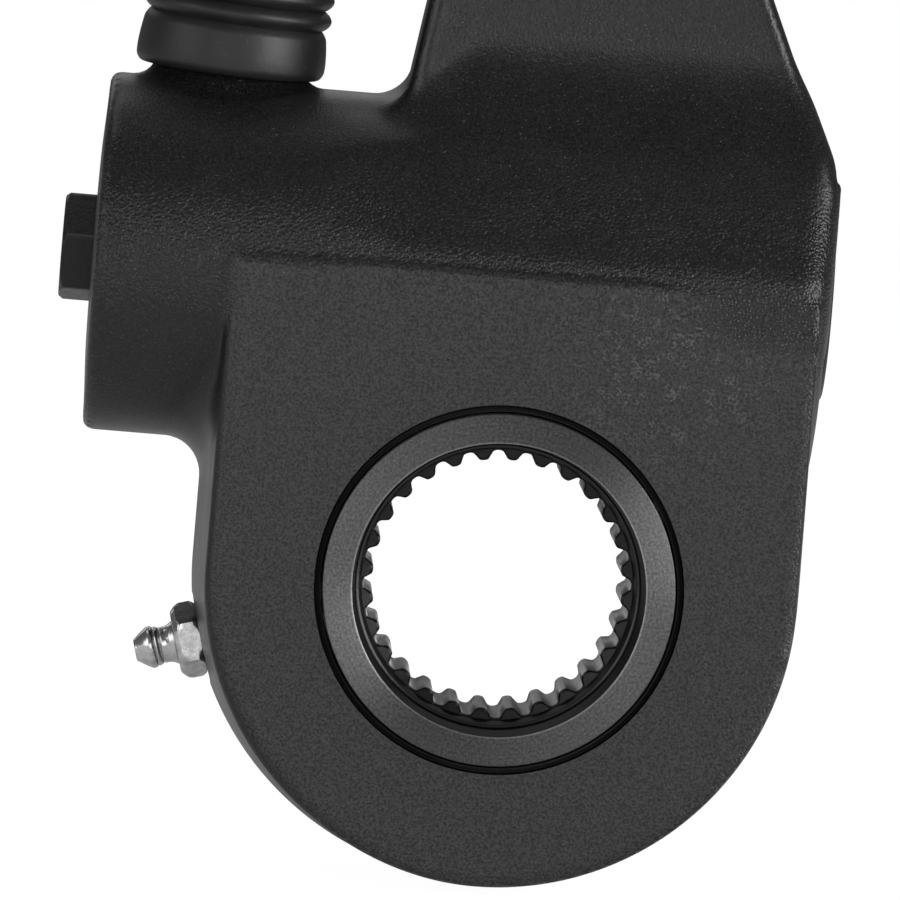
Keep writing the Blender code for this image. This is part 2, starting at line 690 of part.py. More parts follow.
def build_screw(number, x, z):
    """A pan-head screw with a hexagon socket."""
    under_head = FRONT_FACE + SEAT_GAP
    top = under_head + SCREW_HEAD_HEIGHT
    tip = COVER_SEAT - SCREW_DEPTH + SCREW_TIP_GAP
    screw = make(f"cover_screw_{number}", turned([
        (0, tip), (SCREW_RADIUS - SMALL_EDGE, tip), (SCREW_RADIUS, tip + SMALL_EDGE),
        (SCREW_RADIUS, under_head), (SCREW_HEAD_RADIUS, under_head),
        (SCREW_HEAD_RADIUS, top - SCREW_HEAD_CROWN), (SCREW_HEAD_RADIUS - SCREW_HEAD_CROWN, top), (0, top)], 14),
        zinc(f"cover_screw_{number}_zinc"), (x, 0, z), ALONG_Y)
    socket = prism(hexagon(SCREW_SOCKET_FLATS), top - SCREW_SOCKET_DEPTH, top + OVERLAP)
    cut(screw, guide(f"screw_socket_{number}", socket, (x, 0, z), ALONG_Y))


def build_seal_and_washer():
    """A lip ring at each end of the hub and a thrust washer on each side of the wheel."""
    inner = HUB_BORE_RADIUS
    seal_outer = HUB_SEAL_GROOVE_RADIUS - SEAT_GAP
    seal_end = FRONT_FACE - HUB_SEAL_SUNK
    seal_start = seal_end - HUB_SEAL_WIDTH
    make("front_hub_seal", ring(inner, seal_outer, -seal_end, -seal_start, 36),
         rubber("front_hub_seal_rubber"), rotation=ALONG_Y)
    make("back_hub_seal", ring(inner, seal_outer, seal_start, seal_end, 36),
         rubber("back_hub_seal_rubber"), rotation=ALONG_Y)
    washer_outer = HUB_BORE_RADIUS + THRUST_WASHER_WALL
    near = WHEEL_FACE / 2 + SEAT_GAP
    far = near + WASHER_THICKNESS
    make("front_thrust_washer", ring(inner, washer_outer, -far, -near, 32),
         steel("front_thrust_washer_steel"), rotation=ALONG_Y)
    make("back_thrust_washer", ring(inner, washer_outer, near, far, 32),
         steel("back_thrust_washer_steel"), rotation=ALONG_Y)


def build_wheel(axis):
    """The worm wheel and its splined hub, one piece. Its teeth lean by the worm's lead angle."""
    twist = GEAR_MODULE / 2 / WORM_PITCH_RADIUS / WHEEL_PITCH_RADIUS
    sections = []
    for share in (-0.5, 0.5):
        height = share * WHEEL_FACE
        outline = gear_outline(WHEEL_TEETH, GEAR_MODULE, -math.pi / 2, twist * height)
        sections.append([(x, y, height) for x, y in outline])
    wheel = make("worm_wheel", lofted(sections), steel("worm_wheel_steel", 0.25),
                 rotation=ALONG_Y, carrier=axis)
    hub = disc(HUB_RADIUS, -HUB_HALF_WIDTH, HUB_HALF_WIDTH, 40)
    add(wheel, guide("hub_form", hub, rotation=ALONG_Y, carrier=axis))
    floor = HUB_HALF_WIDTH - HUB_RECESS_DEPTH
    step = HUB_HALF_WIDTH - HUB_RECESS_STEP_DEPTH
    past = HUB_HALF_WIDTH + OVERLAP
    narrow = HUB_RECESS_RADIUS - HUB_RECESS_TAPER
    for side, sign in (("front", -1), ("back", 1)):
        recess = turned([
            (0, sign * floor), (narrow - HUB_RECESS_STEP, sign * floor), (narrow, sign * step),
            (HUB_RECESS_RADIUS, sign * past), (0, sign * past)], 36)
        cut(wheel, guide(f"{side}_recess", recess, rotation=ALONG_Y, carrier=axis))
    spline = prism(spline_outline(), -floor - OVERLAP, floor + OVERLAP)
    cut(wheel, guide("spline_form", spline, rotation=ALONG_Y, carrier=axis))


def thread_solid():
    """The single right-hand thread of the worm, a trapezium carried along a helix about local Z."""
    slope = math.tan(PRESSURE_ANGLE)
    half_at_pitch = THREAD_PITCH / 4 - TOOTH_BACKLASH / 4
    inner = WORM_ROOT_RADIUS - OVERLAP / 2
    half_inner = half_at_pitch + (WORM_PITCH_RADIUS - inner) * slope
    half_tip = half_at_pitch - GEAR_MODULE * slope
    turns = WORM_LENGTH / THREAD_PITCH - 1.0
    last = round(turns * THREAD_STEPS / 2)
    sections = []
    for step in range(-last, last + 1):
        angle = 2 * math.pi * step / THREAD_STEPS - math.pi
        height = THREAD_PITCH * step / THREAD_STEPS
        from_end = min(last - abs(step), THREAD_FADE_STEPS) / THREAD_FADE_STEPS
        fade = THREAD_FADE_START + (1 - THREAD_FADE_START) * from_end
        tip = inner + (WORM_TIP_RADIUS - inner) * fade
        section = []
        for radius, offset in ((inner, -half_inner), (tip, -half_tip), (tip, half_tip), (inner, half_inner)):
            section.append((radius * math.cos(angle), radius * math.sin(angle), height + offset))
        sections.append(section)
    return lofted(sections)


def build_worm(axis):
    """The worm, the spindle it is pressed on, and the wrap spring wound on its hub."""
    place = (0, 0, WORM_AXIS_Z)
    bore = SPINDLE_RADIUS + SEAT_GAP
    hub_end = WORM_START_X + CLUTCH_HUB_LENGTH
    core = turned([
        (0, WORM_START_X), (CLUTCH_HUB_RADIUS, WORM_START_X),
        (CLUTCH_HUB_RADIUS, hub_end), (WORM_ROOT_RADIUS, hub_end),
        (WORM_ROOT_RADIUS, WORM_LENGTH / 2), (CLUTCH_HUB_RADIUS, WORM_LENGTH / 2),
        (CLUTCH_HUB_RADIUS, WORM_END_X), (0, WORM_END_X)], 20)
    worm = make("worm", core, steel("worm_steel", 0.3), place, ALONG_X, axis)
    add(worm, guide("thread_form", thread_solid(), place, ALONG_X, axis))
    hole = disc(bore, WORM_START_X - OVERLAP, WORM_END_X + OVERLAP, 20)
    cut(worm, guide("worm_hole", hole, place, ALONG_X, axis))

    hex_end = -WORM_HOUSING_LEFT - HEX_STICK_OUT
    journal = HEX_SUNK - WORM_HOUSING_LEFT
    groove = (journal + LEFT_SHOULDER_X) / 2
    groove_radius = JOURNAL_RADIUS - SEAL_THICKNESS - SEAT_GAP
    spindle = make("adjuster_spindle", turned([
        (0, journal), (JOURNAL_RADIUS, journal), (JOURNAL_RADIUS, groove - SEAL_GROOVE_WIDTH / 2),
        (groove_radius, groove - SEAL_GROOVE_WIDTH / 2), (groove_radius, groove + SEAL_GROOVE_WIDTH / 2),
        (JOURNAL_RADIUS, groove + SEAL_GROOVE_WIDTH / 2), (JOURNAL_RADIUS, LEFT_SHOULDER_X),
        (SPINDLE_RADIUS, LEFT_SHOULDER_X), (SPINDLE_RADIUS, PLUG_X + SPINDLE_TIP - SMALL_EDGE),
        (SPINDLE_RADIUS - SMALL_EDGE, PLUG_X + SPINDLE_TIP), (0, PLUG_X + SPINDLE_TIP)], 24),
        steel("adjuster_spindle_steel", 0.1), place, ALONG_X, axis)
    flat_angle = math.atan2(-math.cos(HEX_TURN), math.sin(HEX_TURN))
    narrow = HEX_ACROSS_FLATS - 2 * SMALL_EDGE
    stub = lofted([[(x, y, height) for x, y in hexagon(flats, flat_angle)] for flats, height in (
        (narrow, hex_end), (HEX_ACROSS_FLATS, hex_end + SMALL_EDGE), (HEX_ACROSS_FLATS, journal + OVERLAP))])
    add(spindle, guide("hexagon_form", stub, place, ALONG_X, axis))
    seal_radius = groove_radius + SEAT_GAP + SEAL_THICKNESS / 2
    make("spindle_seal", round_ring(seal_radius, SEAL_THICKNESS, groove), rubber("spindle_seal_rubber"),
         place, ALONG_X)

    pitch = 2 * CLUTCH_WIRE_RADIUS + CLUTCH_COIL_GAP
    spring_length = pitch * CLUTCH_SPRING_TURNS
    spring = coil(CLUTCH_HUB_RADIUS + SEAT_GAP + CLUTCH_WIRE_RADIUS, pitch, CLUTCH_SPRING_TURNS,
                  CLUTCH_WIRE_RADIUS, CLUTCH_GAP_X - spring_length / 2)
    make("clutch_spring", spring, steel("clutch_spring_steel"), place, ALONG_X, axis)


def build_worm_ends():
    """Washers, disc spring, plug and plug seal, which close the worm bore."""
    place = (0, 0, WORM_AXIS_Z)
    inner = SPINDLE_RADIUS + RUNNING_GAP
    outer = WORM_BORE_RADIUS - 2 * SEAT_GAP
    make("spindle_washer", ring(inner, SPINDLE_WASHER_RADIUS, WASHER_X, WASHER_X + WASHER_THICKNESS, 24),
         steel("spindle_washer_steel"), place, ALONG_X)
    make("worm_washer", ring(inner, outer, WORM_WASHER_X, WORM_WASHER_X + WASHER_THICKNESS, 28),
         steel("worm_washer_steel"), place, ALONG_X)
    spring_end = DISC_SPRING_X + DISC_SPRING_HEIGHT
    spring_inner = inner + DISC_SPRING_PLAY
    spring_outer = WORM_BORE_RADIUS - DISC_SPRING_PLAY
    make("worm_spring", turned([
        (spring_inner, DISC_SPRING_X), (spring_outer, spring_end - DISC_SPRING_WALL),
        (spring_outer, spring_end), (spring_inner, DISC_SPRING_X + DISC_SPRING_WALL)], 28),
        steel("worm_spring_steel"), place, ALONG_X)
    groove = (PLUG_X + PLUG_END_X) / 2
    groove_radius = PLUG_RADIUS - SEAL_THICKNESS - SEAT_GAP
    hole_end = PLUG_X + SPINDLE_TIP + SEAT_GAP
    make("worm_plug", turned([
        (inner, PLUG_X), (PLUG_RADIUS, PLUG_X), (PLUG_RADIUS, groove - SEAL_GROOVE_WIDTH / 2),
        (groove_radius, groove - SEAL_GROOVE_WIDTH / 2), (groove_radius, groove + SEAL_GROOVE_WIDTH / 2),
        (PLUG_RADIUS, groove + SEAL_GROOVE_WIDTH / 2), (PLUG_RADIUS, PLUG_END_X - SMALL_EDGE),
        (PLUG_RADIUS - SMALL_EDGE, PLUG_END_X), (0, PLUG_END_X), (0, hole_end), (inner, hole_end)], 32),
        surface("worm_plug_black", (0.02, 0.02, 0.022), 0.4, 0.0), place, ALONG_X)
    seal_radius = groove_radius + SEAT_GAP + SEAL_THICKNESS / 2
    make("plug_seal", round_ring(seal_radius, SEAL_THICKNESS, groove), rubber("plug_seal_rubber"),
         place, ALONG_X)


def build_pinion(axis):
    """The clutch pinion with the hub that the wrap spring grips."""
    place = (0, 0, WORM_AXIS_Z)
    outline = gear_outline(PINION_TEETH, PINION_MODULE, math.pi / 2)
    pinion = make("clutch_pinion", prism(outline, PINION_X, PINION_X + PINION_FACE),
                  steel("clutch_pinion_steel"), place, ALONG_X, axis)
    hub = disc(CLUTCH_HUB_RADIUS, PINION_X + PINION_FACE - OVERLAP, CLUTCH_GAP_X, 24)
    add(pinion, guide("clutch_hub", hub, place, ALONG_X, axis))
    hole = disc(SPINDLE_RADIUS + RUNNING_GAP, PINION_X - OVERLAP, CLUTCH_GAP_X + OVERLAP, 20)
    cut(pinion, guide("pinion_hole", hole, place, ALONG_X, axis))


def rack_tooth_outline():
    """In the YZ plane, what is cut away from the bar so that its teeth face the pinion."""
    pitch = math.pi * PINION_MODULE
    slope = math.tan(PRESSURE_ANGLE)
    pitch_y = PINION_PITCH_RADIUS
    tip_y = pitch_y - PINION_MODULE
    root_y = pitch_y + TOOTH_ROOT_FACTOR * PINION_MODULE
    half = pitch / 4 + TOOTH_BACKLASH / 4
    half_root = half - TOOTH_ROOT_FACTOR * PINION_MODULE * slope
    half_tip = half + PINION_MODULE * slope
    below = -int((RACK_BAR_BELOW + pitch) / pitch)
    above = int((RACK_HEAD_BELOW - PINION_MODULE) / pitch)
    near = RACK_Y - RACK_RADIUS - 2 * OVERLAP
    low = RACK_BAR_Z - 2 * OVERLAP
    points = [(near, RACK_HEAD_Z), (near, low), (tip_y, low)]
    for space in range(below, above):
        centre = WORM_AXIS_Z + space * pitch
        if centre - half_tip > low:
            points += [(tip_y, centre - half_tip), (root_y, centre - half_root),
                       (root_y, centre + half_root), (tip_y, centre + half_tip)]
    return points + [(tip_y, RACK_HEAD_Z)]


def build_rack(axis):
    """The rack: a round head with a fork for the link, and a toothed bar beside the pinion."""
    place = (RACK_X, RACK_Y, 0)
    head = disc(RACK_RADIUS, RACK_BAR_Z, RACK_TOP_Z, 28)
    rack = make("rack", head, steel("rack_steel"), place, carrier=axis)
    half = RACK_RADIUS + 2 * OVERLAP
    teeth = lofted([[(x, y, z) for y, z in rack_tooth_outline()] for x in (RACK_X - half, RACK_X + half)])
    low = RACK_BAR_Z - 3 * OVERLAP
    left = block((-half, -half, low), (-RACK_BAR_WIDTH / 2, half, RACK_HEAD_Z))
    right = block((RACK_BAR_WIDTH / 2, -half, low), (half, half, RACK_HEAD_Z))
    slot_half = LINK_FOOT_WIDTH / 2 + RUNNING_GAP
    slot_floor = LINK_PIN_Z - LINK_FOOT_RADIUS - RUNNING_GAP
    slot = block((-half, -slot_half, slot_floor), (half, slot_half, RACK_TOP_Z + 2 * OVERLAP))
    pin_hole = disc(LINK_PIN_RADIUS + SEAT_GAP, -half, half, 16)
    cut(rack,
        guide("rack_teeth", teeth, carrier=axis),
        guide("rack_left_side", left, place, carrier=axis),
        guide("rack_right_side", right, place, carrier=axis),
        guide("rack_slot", slot, place, carrier=axis),
        guide("rack_pin_hole", pin_hole, LINK_FOOT, ALONG_Y, axis))
    half_length = math.sqrt(RACK_RADIUS ** 2 - LINK_PIN_RADIUS ** 2) - SEAT_GAP
    pin = disc(LINK_PIN_RADIUS, -half_length, half_length, 16)
    make("link_pin", pin, steel("link_pin_steel"), LINK_FOOT, ALONG_Y, axis)


def build_link(axis):
    """The link: a rod with a narrow foot in the rack and a wide eye round the small clevis pin."""
    direction = LINK_HEAD - LINK_FOOT
    turn = direction.to_track_quat("Z", "Y").to_euler()
    rod = disc(LINK_ROD_RADIUS, 0, direction.length, 16)
    foot = disc(LINK_FOOT_RADIUS, -LINK_FOOT_WIDTH / 2, LINK_FOOT_WIDTH / 2, 20)
    eye = disc(LINK_EYE_RADIUS, -LINK_EYE_HALF, LINK_EYE_HALF, 20)
    foot_hole = disc(LINK_PIN_RADIUS + RUNNING_GAP, -LINK_FOOT_WIDTH, LINK_FOOT_WIDTH, 16)
    eye_hole = disc(LINK_HOLE_RADIUS, -LINK_EYE_HALF - OVERLAP, LINK_EYE_HALF + OVERLAP, 18)
    link = make("link", foot, steel("link_steel"), LINK_FOOT, ALONG_Y, axis)
    shank = guide("link_shank", rod, LINK_FOOT, turn, axis)
    trim = LINK_FOOT_RADIUS + LINK_ROD_RADIUS
    flat_low = block((-trim, -trim, -trim), (trim, -LINK_FOOT_WIDTH / 2, trim))
    flat_high = block((-trim, LINK_FOOT_WIDTH / 2, -trim), (trim, trim, trim))
    add(link, shank, guide("link_eye", eye, LINK_HEAD, ALONG_Y, axis))
    cut(link,
        guide("link_flat_front", flat_low, LINK_FOOT, carrier=axis),
        guide("link_flat_back", flat_high, LINK_FOOT, carrier=axis),
        guide("link_foot_hole", foot_hole, LINK_FOOT, ALONG_Y, axis),
        guide("link_eye_hole", eye_hole, LINK_HEAD, ALONG_Y, axis))


def boot_profile():
    """Radius and height of the boot's wall, up the outside and down the inside."""
    inner = BOOT_GROOVE_RADIUS - BOOT_WALL
    neck = NECK_RADIUS + BOOT_FREEDOM
    rounding = BOOT_COLLAR_ROUNDING
    outside = [(BOOT_COLLAR_RADIUS - rounding, 0), (BOOT_COLLAR_RADIUS, rounding),
               (BOOT_COLLAR_RADIUS, BOOT_COLLAR_LENGTH - rounding),
               (BOOT_COLLAR_RADIUS - 0.4 * rounding, BOOT_COLLAR_LENGTH - 0.3 * rounding)]
    for fold in range(BOOT_FOLDS):
        height = BOOT_COLLAR_LENGTH + fold * BOOT_PITCH
        outside.append((BOOT_GROOVE_RADIUS, height + 0.15 * BOOT_PITCH))
        outside.append((BOOT_BULGE_RADIUS, height + 0.45 * BOOT_PITCH))
        outside.append((BOOT_BULGE_RADIUS, height + 0.80 * BOOT_PITCH))
    folds_end = BOOT_COLLAR_LENGTH + BOOT_FOLDS * BOOT_PITCH
    cuff = folds_end + BOOT_TAPER_LENGTH
    outside += [(BOOT_GROOVE_RADIUS, folds_end + 0.15 * BOOT_PITCH), (BOOT_CUFF_RADIUS, cuff),
                (BOOT_CUFF_RADIUS, cuff + BOOT_CUFF_LENGTH)]
    rod = LINK_ROD_RADIUS + SEAT_GAP
    inside = [(rod, cuff + BOOT_CUFF_LENGTH), (rod, cuff - BOOT_WALL), (inner, folds_end - BOOT_WALL),
              (inner, BOOT_COLLAR_LENGTH), (neck, BOOT_COLLAR_LENGTH - SMALL_EDGE), (neck, 0)]
    return outside + inside


def build_boot():
    """The rubber boot, from the neck of the housing to the link."""
    direction = LINK_HEAD - LINK_FOOT
    turn = direction.to_track_quat("Z", "Y").to_euler()
    start = Vector((RACK_X, RACK_Y, BOSS_TOP_Z + BOOT_START))
    base = LINK_FOOT + direction.normalized() * (start - LINK_FOOT).dot(direction.normalized())
    make("boot", turned(boot_profile(), 20), rubber("boot_rubber"), base, turn)


def build_clevis(axis):
    """The clevis: a fork over the arm, a block, and a round boss with the push-rod socket."""
    half_height = CLEVIS_HEIGHT / 2
    slot_end = -PIN_SPACING - CLEVIS_SLOT_REACH
    block_end = slot_end - CLEVIS_BLOCK_LENGTH
    boss_end = block_end - CLEVIS_BOSS_LENGTH
    round_end = arc((0, 0), half_height, -90, 90, 14)
    outline = [(block_end, -half_height)] + round_end + [(block_end, half_height)]
    eye = (0, 0, ARM_LENGTH)
    body = lofted([[(x, y, z) for x, z in outline] for y in (-CLEVIS_HALF, CLEVIS_HALF)])
    clevis = make("clevis", body, zinc("clevis_zinc"), eye, carrier=axis)
    bevel = clevis.modifiers.new("edges", "BEVEL")
    bevel.width = CLEVIS_EDGE
    bevel.segments = 1
    bevel.angle_limit = math.radians(50)
    past = 2 * OVERLAP
    boss = turned([(0, boss_end), (CLEVIS_BOSS_RADIUS - CLEVIS_EDGE, boss_end),
                   (CLEVIS_BOSS_RADIUS, boss_end + CLEVIS_EDGE),
                   (CLEVIS_BOSS_RADIUS, block_end + past), (0, block_end + past)], 28)
    add(clevis, guide("clevis_boss", boss, eye, ALONG_X, axis))
    reach = half_height + past
    slot = block((slot_end, -FORK_HALF, -reach), (reach, FORK_HALF, reach))
    socket = disc(SOCKET_RADIUS, boss_end - past, slot_end + past, 28)
    wide = CLEVIS_HALF + past
    cut(clevis,
        guide("clevis_slot", slot, eye, carrier=axis),
        guide("clevis_hole", disc(CLEVIS_PIN_RADIUS + RUNNING_GAP, -wide, wide, 32), eye, ALONG_Y, axis),
        guide("clevis_small_hole", disc(SMALL_HOLE_RADIUS, -wide, wide, 20), (-PIN_SPACING, 0, ARM_LENGTH),
              ALONG_Y, axis),
        guide("push_rod_socket", socket, eye, ALONG_X, axis))


def cotter_path(leg_offset, half_length, loop_radius, spread):
    """A split pin in local XZ: two legs, a round loop above and bent tips below."""
    left = [(-spread, -half_length - 0.7 * spread),
            (-leg_offset - 0.25 * spread, -half_length - 0.2 * spread),
            (-leg_offset, -half_length), (-leg_offset, half_length)]
    centre = half_length + 1.3 * loop_radius
    loop = [(x, z) for x, z in arc((0, centre), loop_radius, 240, -60, 10)]
    right = [(-x, z) for x, z in reversed(left)]
    return [(x, 0, z) for x, z in left + loop + right]


def build_pin(name, radius, head_widening, head_height, cotter_name, hole_radius, wire_radius, x, axis):
    """A headed pin with its split pin, across both ears of the clevis."""
    place = (x, 0, ARM_LENGTH)
    head = -CLEVIS_HALF - SEAT_GAP
    cotter_y = CLEVIS_HALF + SEAT_GAP + hole_radius + COTTER_PLAY
    end = cotter_y + PIN_TAIL
    edge = SMALL_EDGE
    pin = make(name, turned([
        (0, head - head_height), (radius + head_widening - edge, head - head_height),
        (radius + head_widening, head - head_height + edge), (radius + head_widening, head), (radius, head),
        (radius, end - edge), (radius - edge, end), (0, end)], 28),
        zinc(name + "_zinc"), place, ALONG_Y, axis)
    through = disc(hole_radius, -radius - OVERLAP, radius + OVERLAP, 12)
    cut(pin, guide(name + "_cotter_hole", through, (x, cotter_y, ARM_LENGTH), carrier=axis))
    leg_offset = wire_radius + COTTER_LEG_GAP
    path = cotter_path(leg_offset, radius + COTTER_PLAY, 3.2 * wire_radius, 4.5 * wire_radius)
    make(cotter_name, swept(path, wire_radius), zinc(cotter_name + "_zinc"), (x, cotter_y, ARM_LENGTH),
         carrier=axis)


def build_fitting():
    """The grease fitting with its check ball and spring, square to the side of the barrel."""
    turn = fitting_rotation()
    seat = BARREL_RADIUS - FITTING_FACE_CUT + SEAT_GAP
    hex_end = seat + FITTING_HEX_LENGTH
    tip = seat + FITTING_LENGTH
    head = tip - 0.9 * FITTING_HEAD_RADIUS
    shank_end = CHAMBER_RADIUS + FITTING_SHANK_GAP
    mouth = 0.6 * BALL_RADIUS
    chamber = BALL_RADIUS + SEAT_GAP
    ball_centre = tip - BALL_DEPTH
    spring_seat = seat + SPRING_SEAT_DEPTH
    profile = [(mouth, shank_end), (FITTING_SHANK_RADIUS, shank_end),
               (FITTING_SHANK_RADIUS, hex_end + FITTING_LAP),
               (FITTING_NECK_RADIUS, head - 0.8 * FITTING_HEAD_RADIUS)]
    for radius, height in arc((0, head), FITTING_HEAD_RADIUS, -35, 50, 4):
        profile.append((radius, height))
    profile += [(1.7 * mouth, tip), (mouth, tip), (mouth, ball_centre + 1.2 * BALL_RADIUS),
                (chamber, ball_centre + 0.4 * BALL_RADIUS), (chamber, spring_seat), (mouth, spring_seat)]
    fitting = make("grease_fitting", turned(profile, 16), zinc("grease_fitting_zinc"), rotation=turn)
    hexagon_part = prism(hexagon(FITTING_FLATS, math.pi / 2), seat, hex_end)
    nut = guide("fitting_hexagon", hexagon_part, rotation=turn)
    bore = disc(FITTING_SHANK_RADIUS - FITTING_LAP, seat - OVERLAP, hex_end + OVERLAP, 16)
    cut(nut, guide("fitting_bore", bore, rotation=turn))
    add(fitting, nut)
    direction = Vector((math.cos(FITTING_ANGLE), 0, math.sin(FITTING_ANGLE)))
    axis = joint_axis("grease_ball_axis", direction * ball_centre)
    ball = turned([(0, -BALL_RADIUS)] + [(x, z) for x, z in arc((0, 0), BALL_RADIUS, -60, 60, 4)]
                  + [(0, BALL_RADIUS)], 12)
    make("grease_ball", ball, steel("grease_ball_steel"), direction * ball_centre, turn, axis)
    wire = GREASE_WIRE_RADIUS
    low = spring_seat + SEAT_GAP + wire
    high = ball_centre - BALL_RADIUS - SEAT_GAP - wire
    pitch = (high - low) / GREASE_SPRING_TURNS
    spring = coil(0.7 * BALL_RADIUS, pitch, GREASE_SPRING_TURNS, wire, low, 7, 3)
    make("grease_spring", spring, steel("grease_spring_steel"), rotation=turn)


def build_slack_adjuster():
    """All pieces, from the casting outwards."""
    clear_scene()
    build_housing()
    build_cover()
    build_wheel(joint_axis("wheel_axis", (0, 0, 0)))
    build_worm(joint_axis("worm_axis", (0, 0, WORM_AXIS_Z)))
    build_worm_ends()
    build_pinion(joint_axis("pinion_axis", (PINION_X, 0, WORM_AXIS_Z)))
    rack_axis = joint_axis("rack_axis", (RACK_X, RACK_Y, RACK_TOP_Z))
    build_rack(rack_axis)
    build_link(rack_axis)
    build_boot()
    make("arm_bushing", ring(BUSHING_BORE, BUSHING_RADIUS, -ARM_EYE_HALF, ARM_EYE_HALF, 32),
         steel("arm_bushing_steel"), (0, 0, ARM_LENGTH), ALONG_Y)
    clevis_axis = joint_axis("clevis_axis", (0, 0, ARM_LENGTH))
    build_clevis(clevis_axis)
    build_pin("clevis_pin", CLEVIS_PIN_RADIUS, PIN_HEAD_WIDENING, PIN_HEAD_HEIGHT, "clevis_cotter",
              COTTER_HOLE_RADIUS, COTTER_WIRE_RADIUS, 0, clevis_axis)
    build_pin("link_clevis_pin", CLEVIS_SMALL_PIN_RADIUS, SMALL_PIN_HEAD_WIDENING, SMALL_PIN_HEAD_HEIGHT,
              "link_cotter", SMALL_COTTER_HOLE_RADIUS, SMALL_COTTER_WIRE_RADIUS, -PIN_SPACING, clevis_axis)
    build_fitting()


build_slack_adjuster()
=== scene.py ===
"""Looks of an automatic brake slack adjuster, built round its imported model.

Lengths are in metres, +Z is up and the front looks towards -Y.
"""
import math

import bmesh
import bpy
import numpy as np
from mathutils import Matrix, Vector


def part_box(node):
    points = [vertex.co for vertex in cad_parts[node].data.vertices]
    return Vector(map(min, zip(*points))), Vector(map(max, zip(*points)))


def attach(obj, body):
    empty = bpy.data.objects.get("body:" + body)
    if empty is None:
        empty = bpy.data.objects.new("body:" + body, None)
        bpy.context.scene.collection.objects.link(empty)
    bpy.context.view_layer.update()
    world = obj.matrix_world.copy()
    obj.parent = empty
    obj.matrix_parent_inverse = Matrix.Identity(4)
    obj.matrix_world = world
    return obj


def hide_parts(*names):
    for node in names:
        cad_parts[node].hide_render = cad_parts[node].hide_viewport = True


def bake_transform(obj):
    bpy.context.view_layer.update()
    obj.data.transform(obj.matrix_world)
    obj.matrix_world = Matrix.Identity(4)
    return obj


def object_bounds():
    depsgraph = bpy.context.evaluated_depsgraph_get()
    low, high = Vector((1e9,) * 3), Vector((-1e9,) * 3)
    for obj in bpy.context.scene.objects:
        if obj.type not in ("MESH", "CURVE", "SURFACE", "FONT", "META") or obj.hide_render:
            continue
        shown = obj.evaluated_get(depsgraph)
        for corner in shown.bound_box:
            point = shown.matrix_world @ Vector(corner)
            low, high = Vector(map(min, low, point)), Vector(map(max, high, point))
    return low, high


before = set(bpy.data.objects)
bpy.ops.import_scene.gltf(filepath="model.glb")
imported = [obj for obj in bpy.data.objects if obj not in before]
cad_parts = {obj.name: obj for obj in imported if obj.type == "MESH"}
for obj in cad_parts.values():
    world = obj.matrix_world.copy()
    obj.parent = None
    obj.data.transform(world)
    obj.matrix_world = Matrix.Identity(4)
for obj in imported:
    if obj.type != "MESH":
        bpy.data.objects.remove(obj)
cad_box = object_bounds()

# The camera: a long lens nearly two metres in front, a little left of the bore and above it, rolled so that
# the arm leans to the right.
camera_place = Vector((-0.0445, -1.776, 0.1103))
camera_target = Vector((-0.00855, -0.026, 0.0192))
camera_roll = math.radians(4.8)
width_in_view = 0.1269
sensor_width = 36.0
view_distance = 20.0
forward = camera_target - camera_place
camera_data = bpy.data.cameras.new("camera")
camera_data.sensor_width = sensor_width
camera_data.lens = sensor_width * forward.length / width_in_view
camera_data.clip_end = view_distance
camera = bpy.data.objects.new("camera", camera_data)
level_turn = forward.to_track_quat("-Z", "Y").to_matrix()
camera_turn = level_turn @ Matrix.Rotation(camera_roll, 3, "Z")
camera.matrix_world = Matrix.Translation(camera_place) @ camera_turn.to_4x4()
bpy.context.collection.objects.link(camera)
bpy.context.scene.camera = camera
bpy.context.scene.view_settings.view_transform = "Standard"

# The photographer's set: a white sweep under the part, a soft lamp in front, a tall one on either side, the
# right one much the stronger, a weak one above and another behind. The sweep and the sky show white to the
# camera, and the floor keeps a soft shadow.
floor_in_gloss = 0.18
floor_glow_share = 0.8
floor_glow = 1.22
sky_glow = 0.125
lit_point = Vector((0.0, 0.0, 0.03))


def add_node(tree, kind, inputs=None, **settings):
    """Adds a shader node. An input that is another node's output is linked, any other value is set."""
    made = tree.nodes.new(kind)
    for key, value in settings.items():
        setattr(made, key, value)
    for key, value in (inputs or {}).items():
        if isinstance(value, bpy.types.NodeSocket):
            tree.links.new(value, made.inputs[key])
        else:
            made.inputs[key].default_value = value
    return made


def maths(tree, operation, *inputs):
    """What a Math node makes of its inputs."""
    return add_node(tree, "ShaderNodeMath", dict(enumerate(inputs)), operation=operation).outputs[0]


def soft_lamp(name, place, size, power):
    """A rectangular lamp at a place, turned to the middle of the part."""
    data = bpy.data.lights.new(name, "AREA")
    data.shape = "RECTANGLE"
    data.size, data.size_y = size
    data.energy = power
    lamp = bpy.data.objects.new(name, data)
    lamp.location = place
    lamp.rotation_euler = (lit_point - Vector(place)).to_track_quat("-Z", "Y").to_euler()
    bpy.context.collection.objects.link(lamp)


white = (1.0, 1.0, 1.0, 1.0)
sweep_material = bpy.data.materials.new("white_sweep")
sweep_material.use_nodes = True
tree = sweep_material.node_tree
tree.nodes.clear()
path = add_node(tree, "ShaderNodeLightPath")
in_gloss = maths(tree, "MULTIPLY", path.outputs["Is Glossy Ray"], floor_in_gloss)
seen = maths(tree, "MAXIMUM", path.outputs["Is Camera Ray"], in_gloss)
seen = maths(tree, "MAXIMUM", seen, path.outputs["Is Transmission Ray"])
share = maths(tree, "MULTIPLY", seen, floor_glow_share)
lit = add_node(tree, "ShaderNodeBsdfDiffuse", {"Color": (0.8, 0.8, 0.8, 1.0)})
glow = add_node(tree, "ShaderNodeEmission", {"Color": white, "Strength": floor_glow})
both = add_node(tree, "ShaderNodeMixShader", {0: share, 1: lit.outputs[0], 2: glow.outputs[0]})
add_node(tree, "ShaderNodeOutputMaterial", {"Surface": both.outputs[0]})

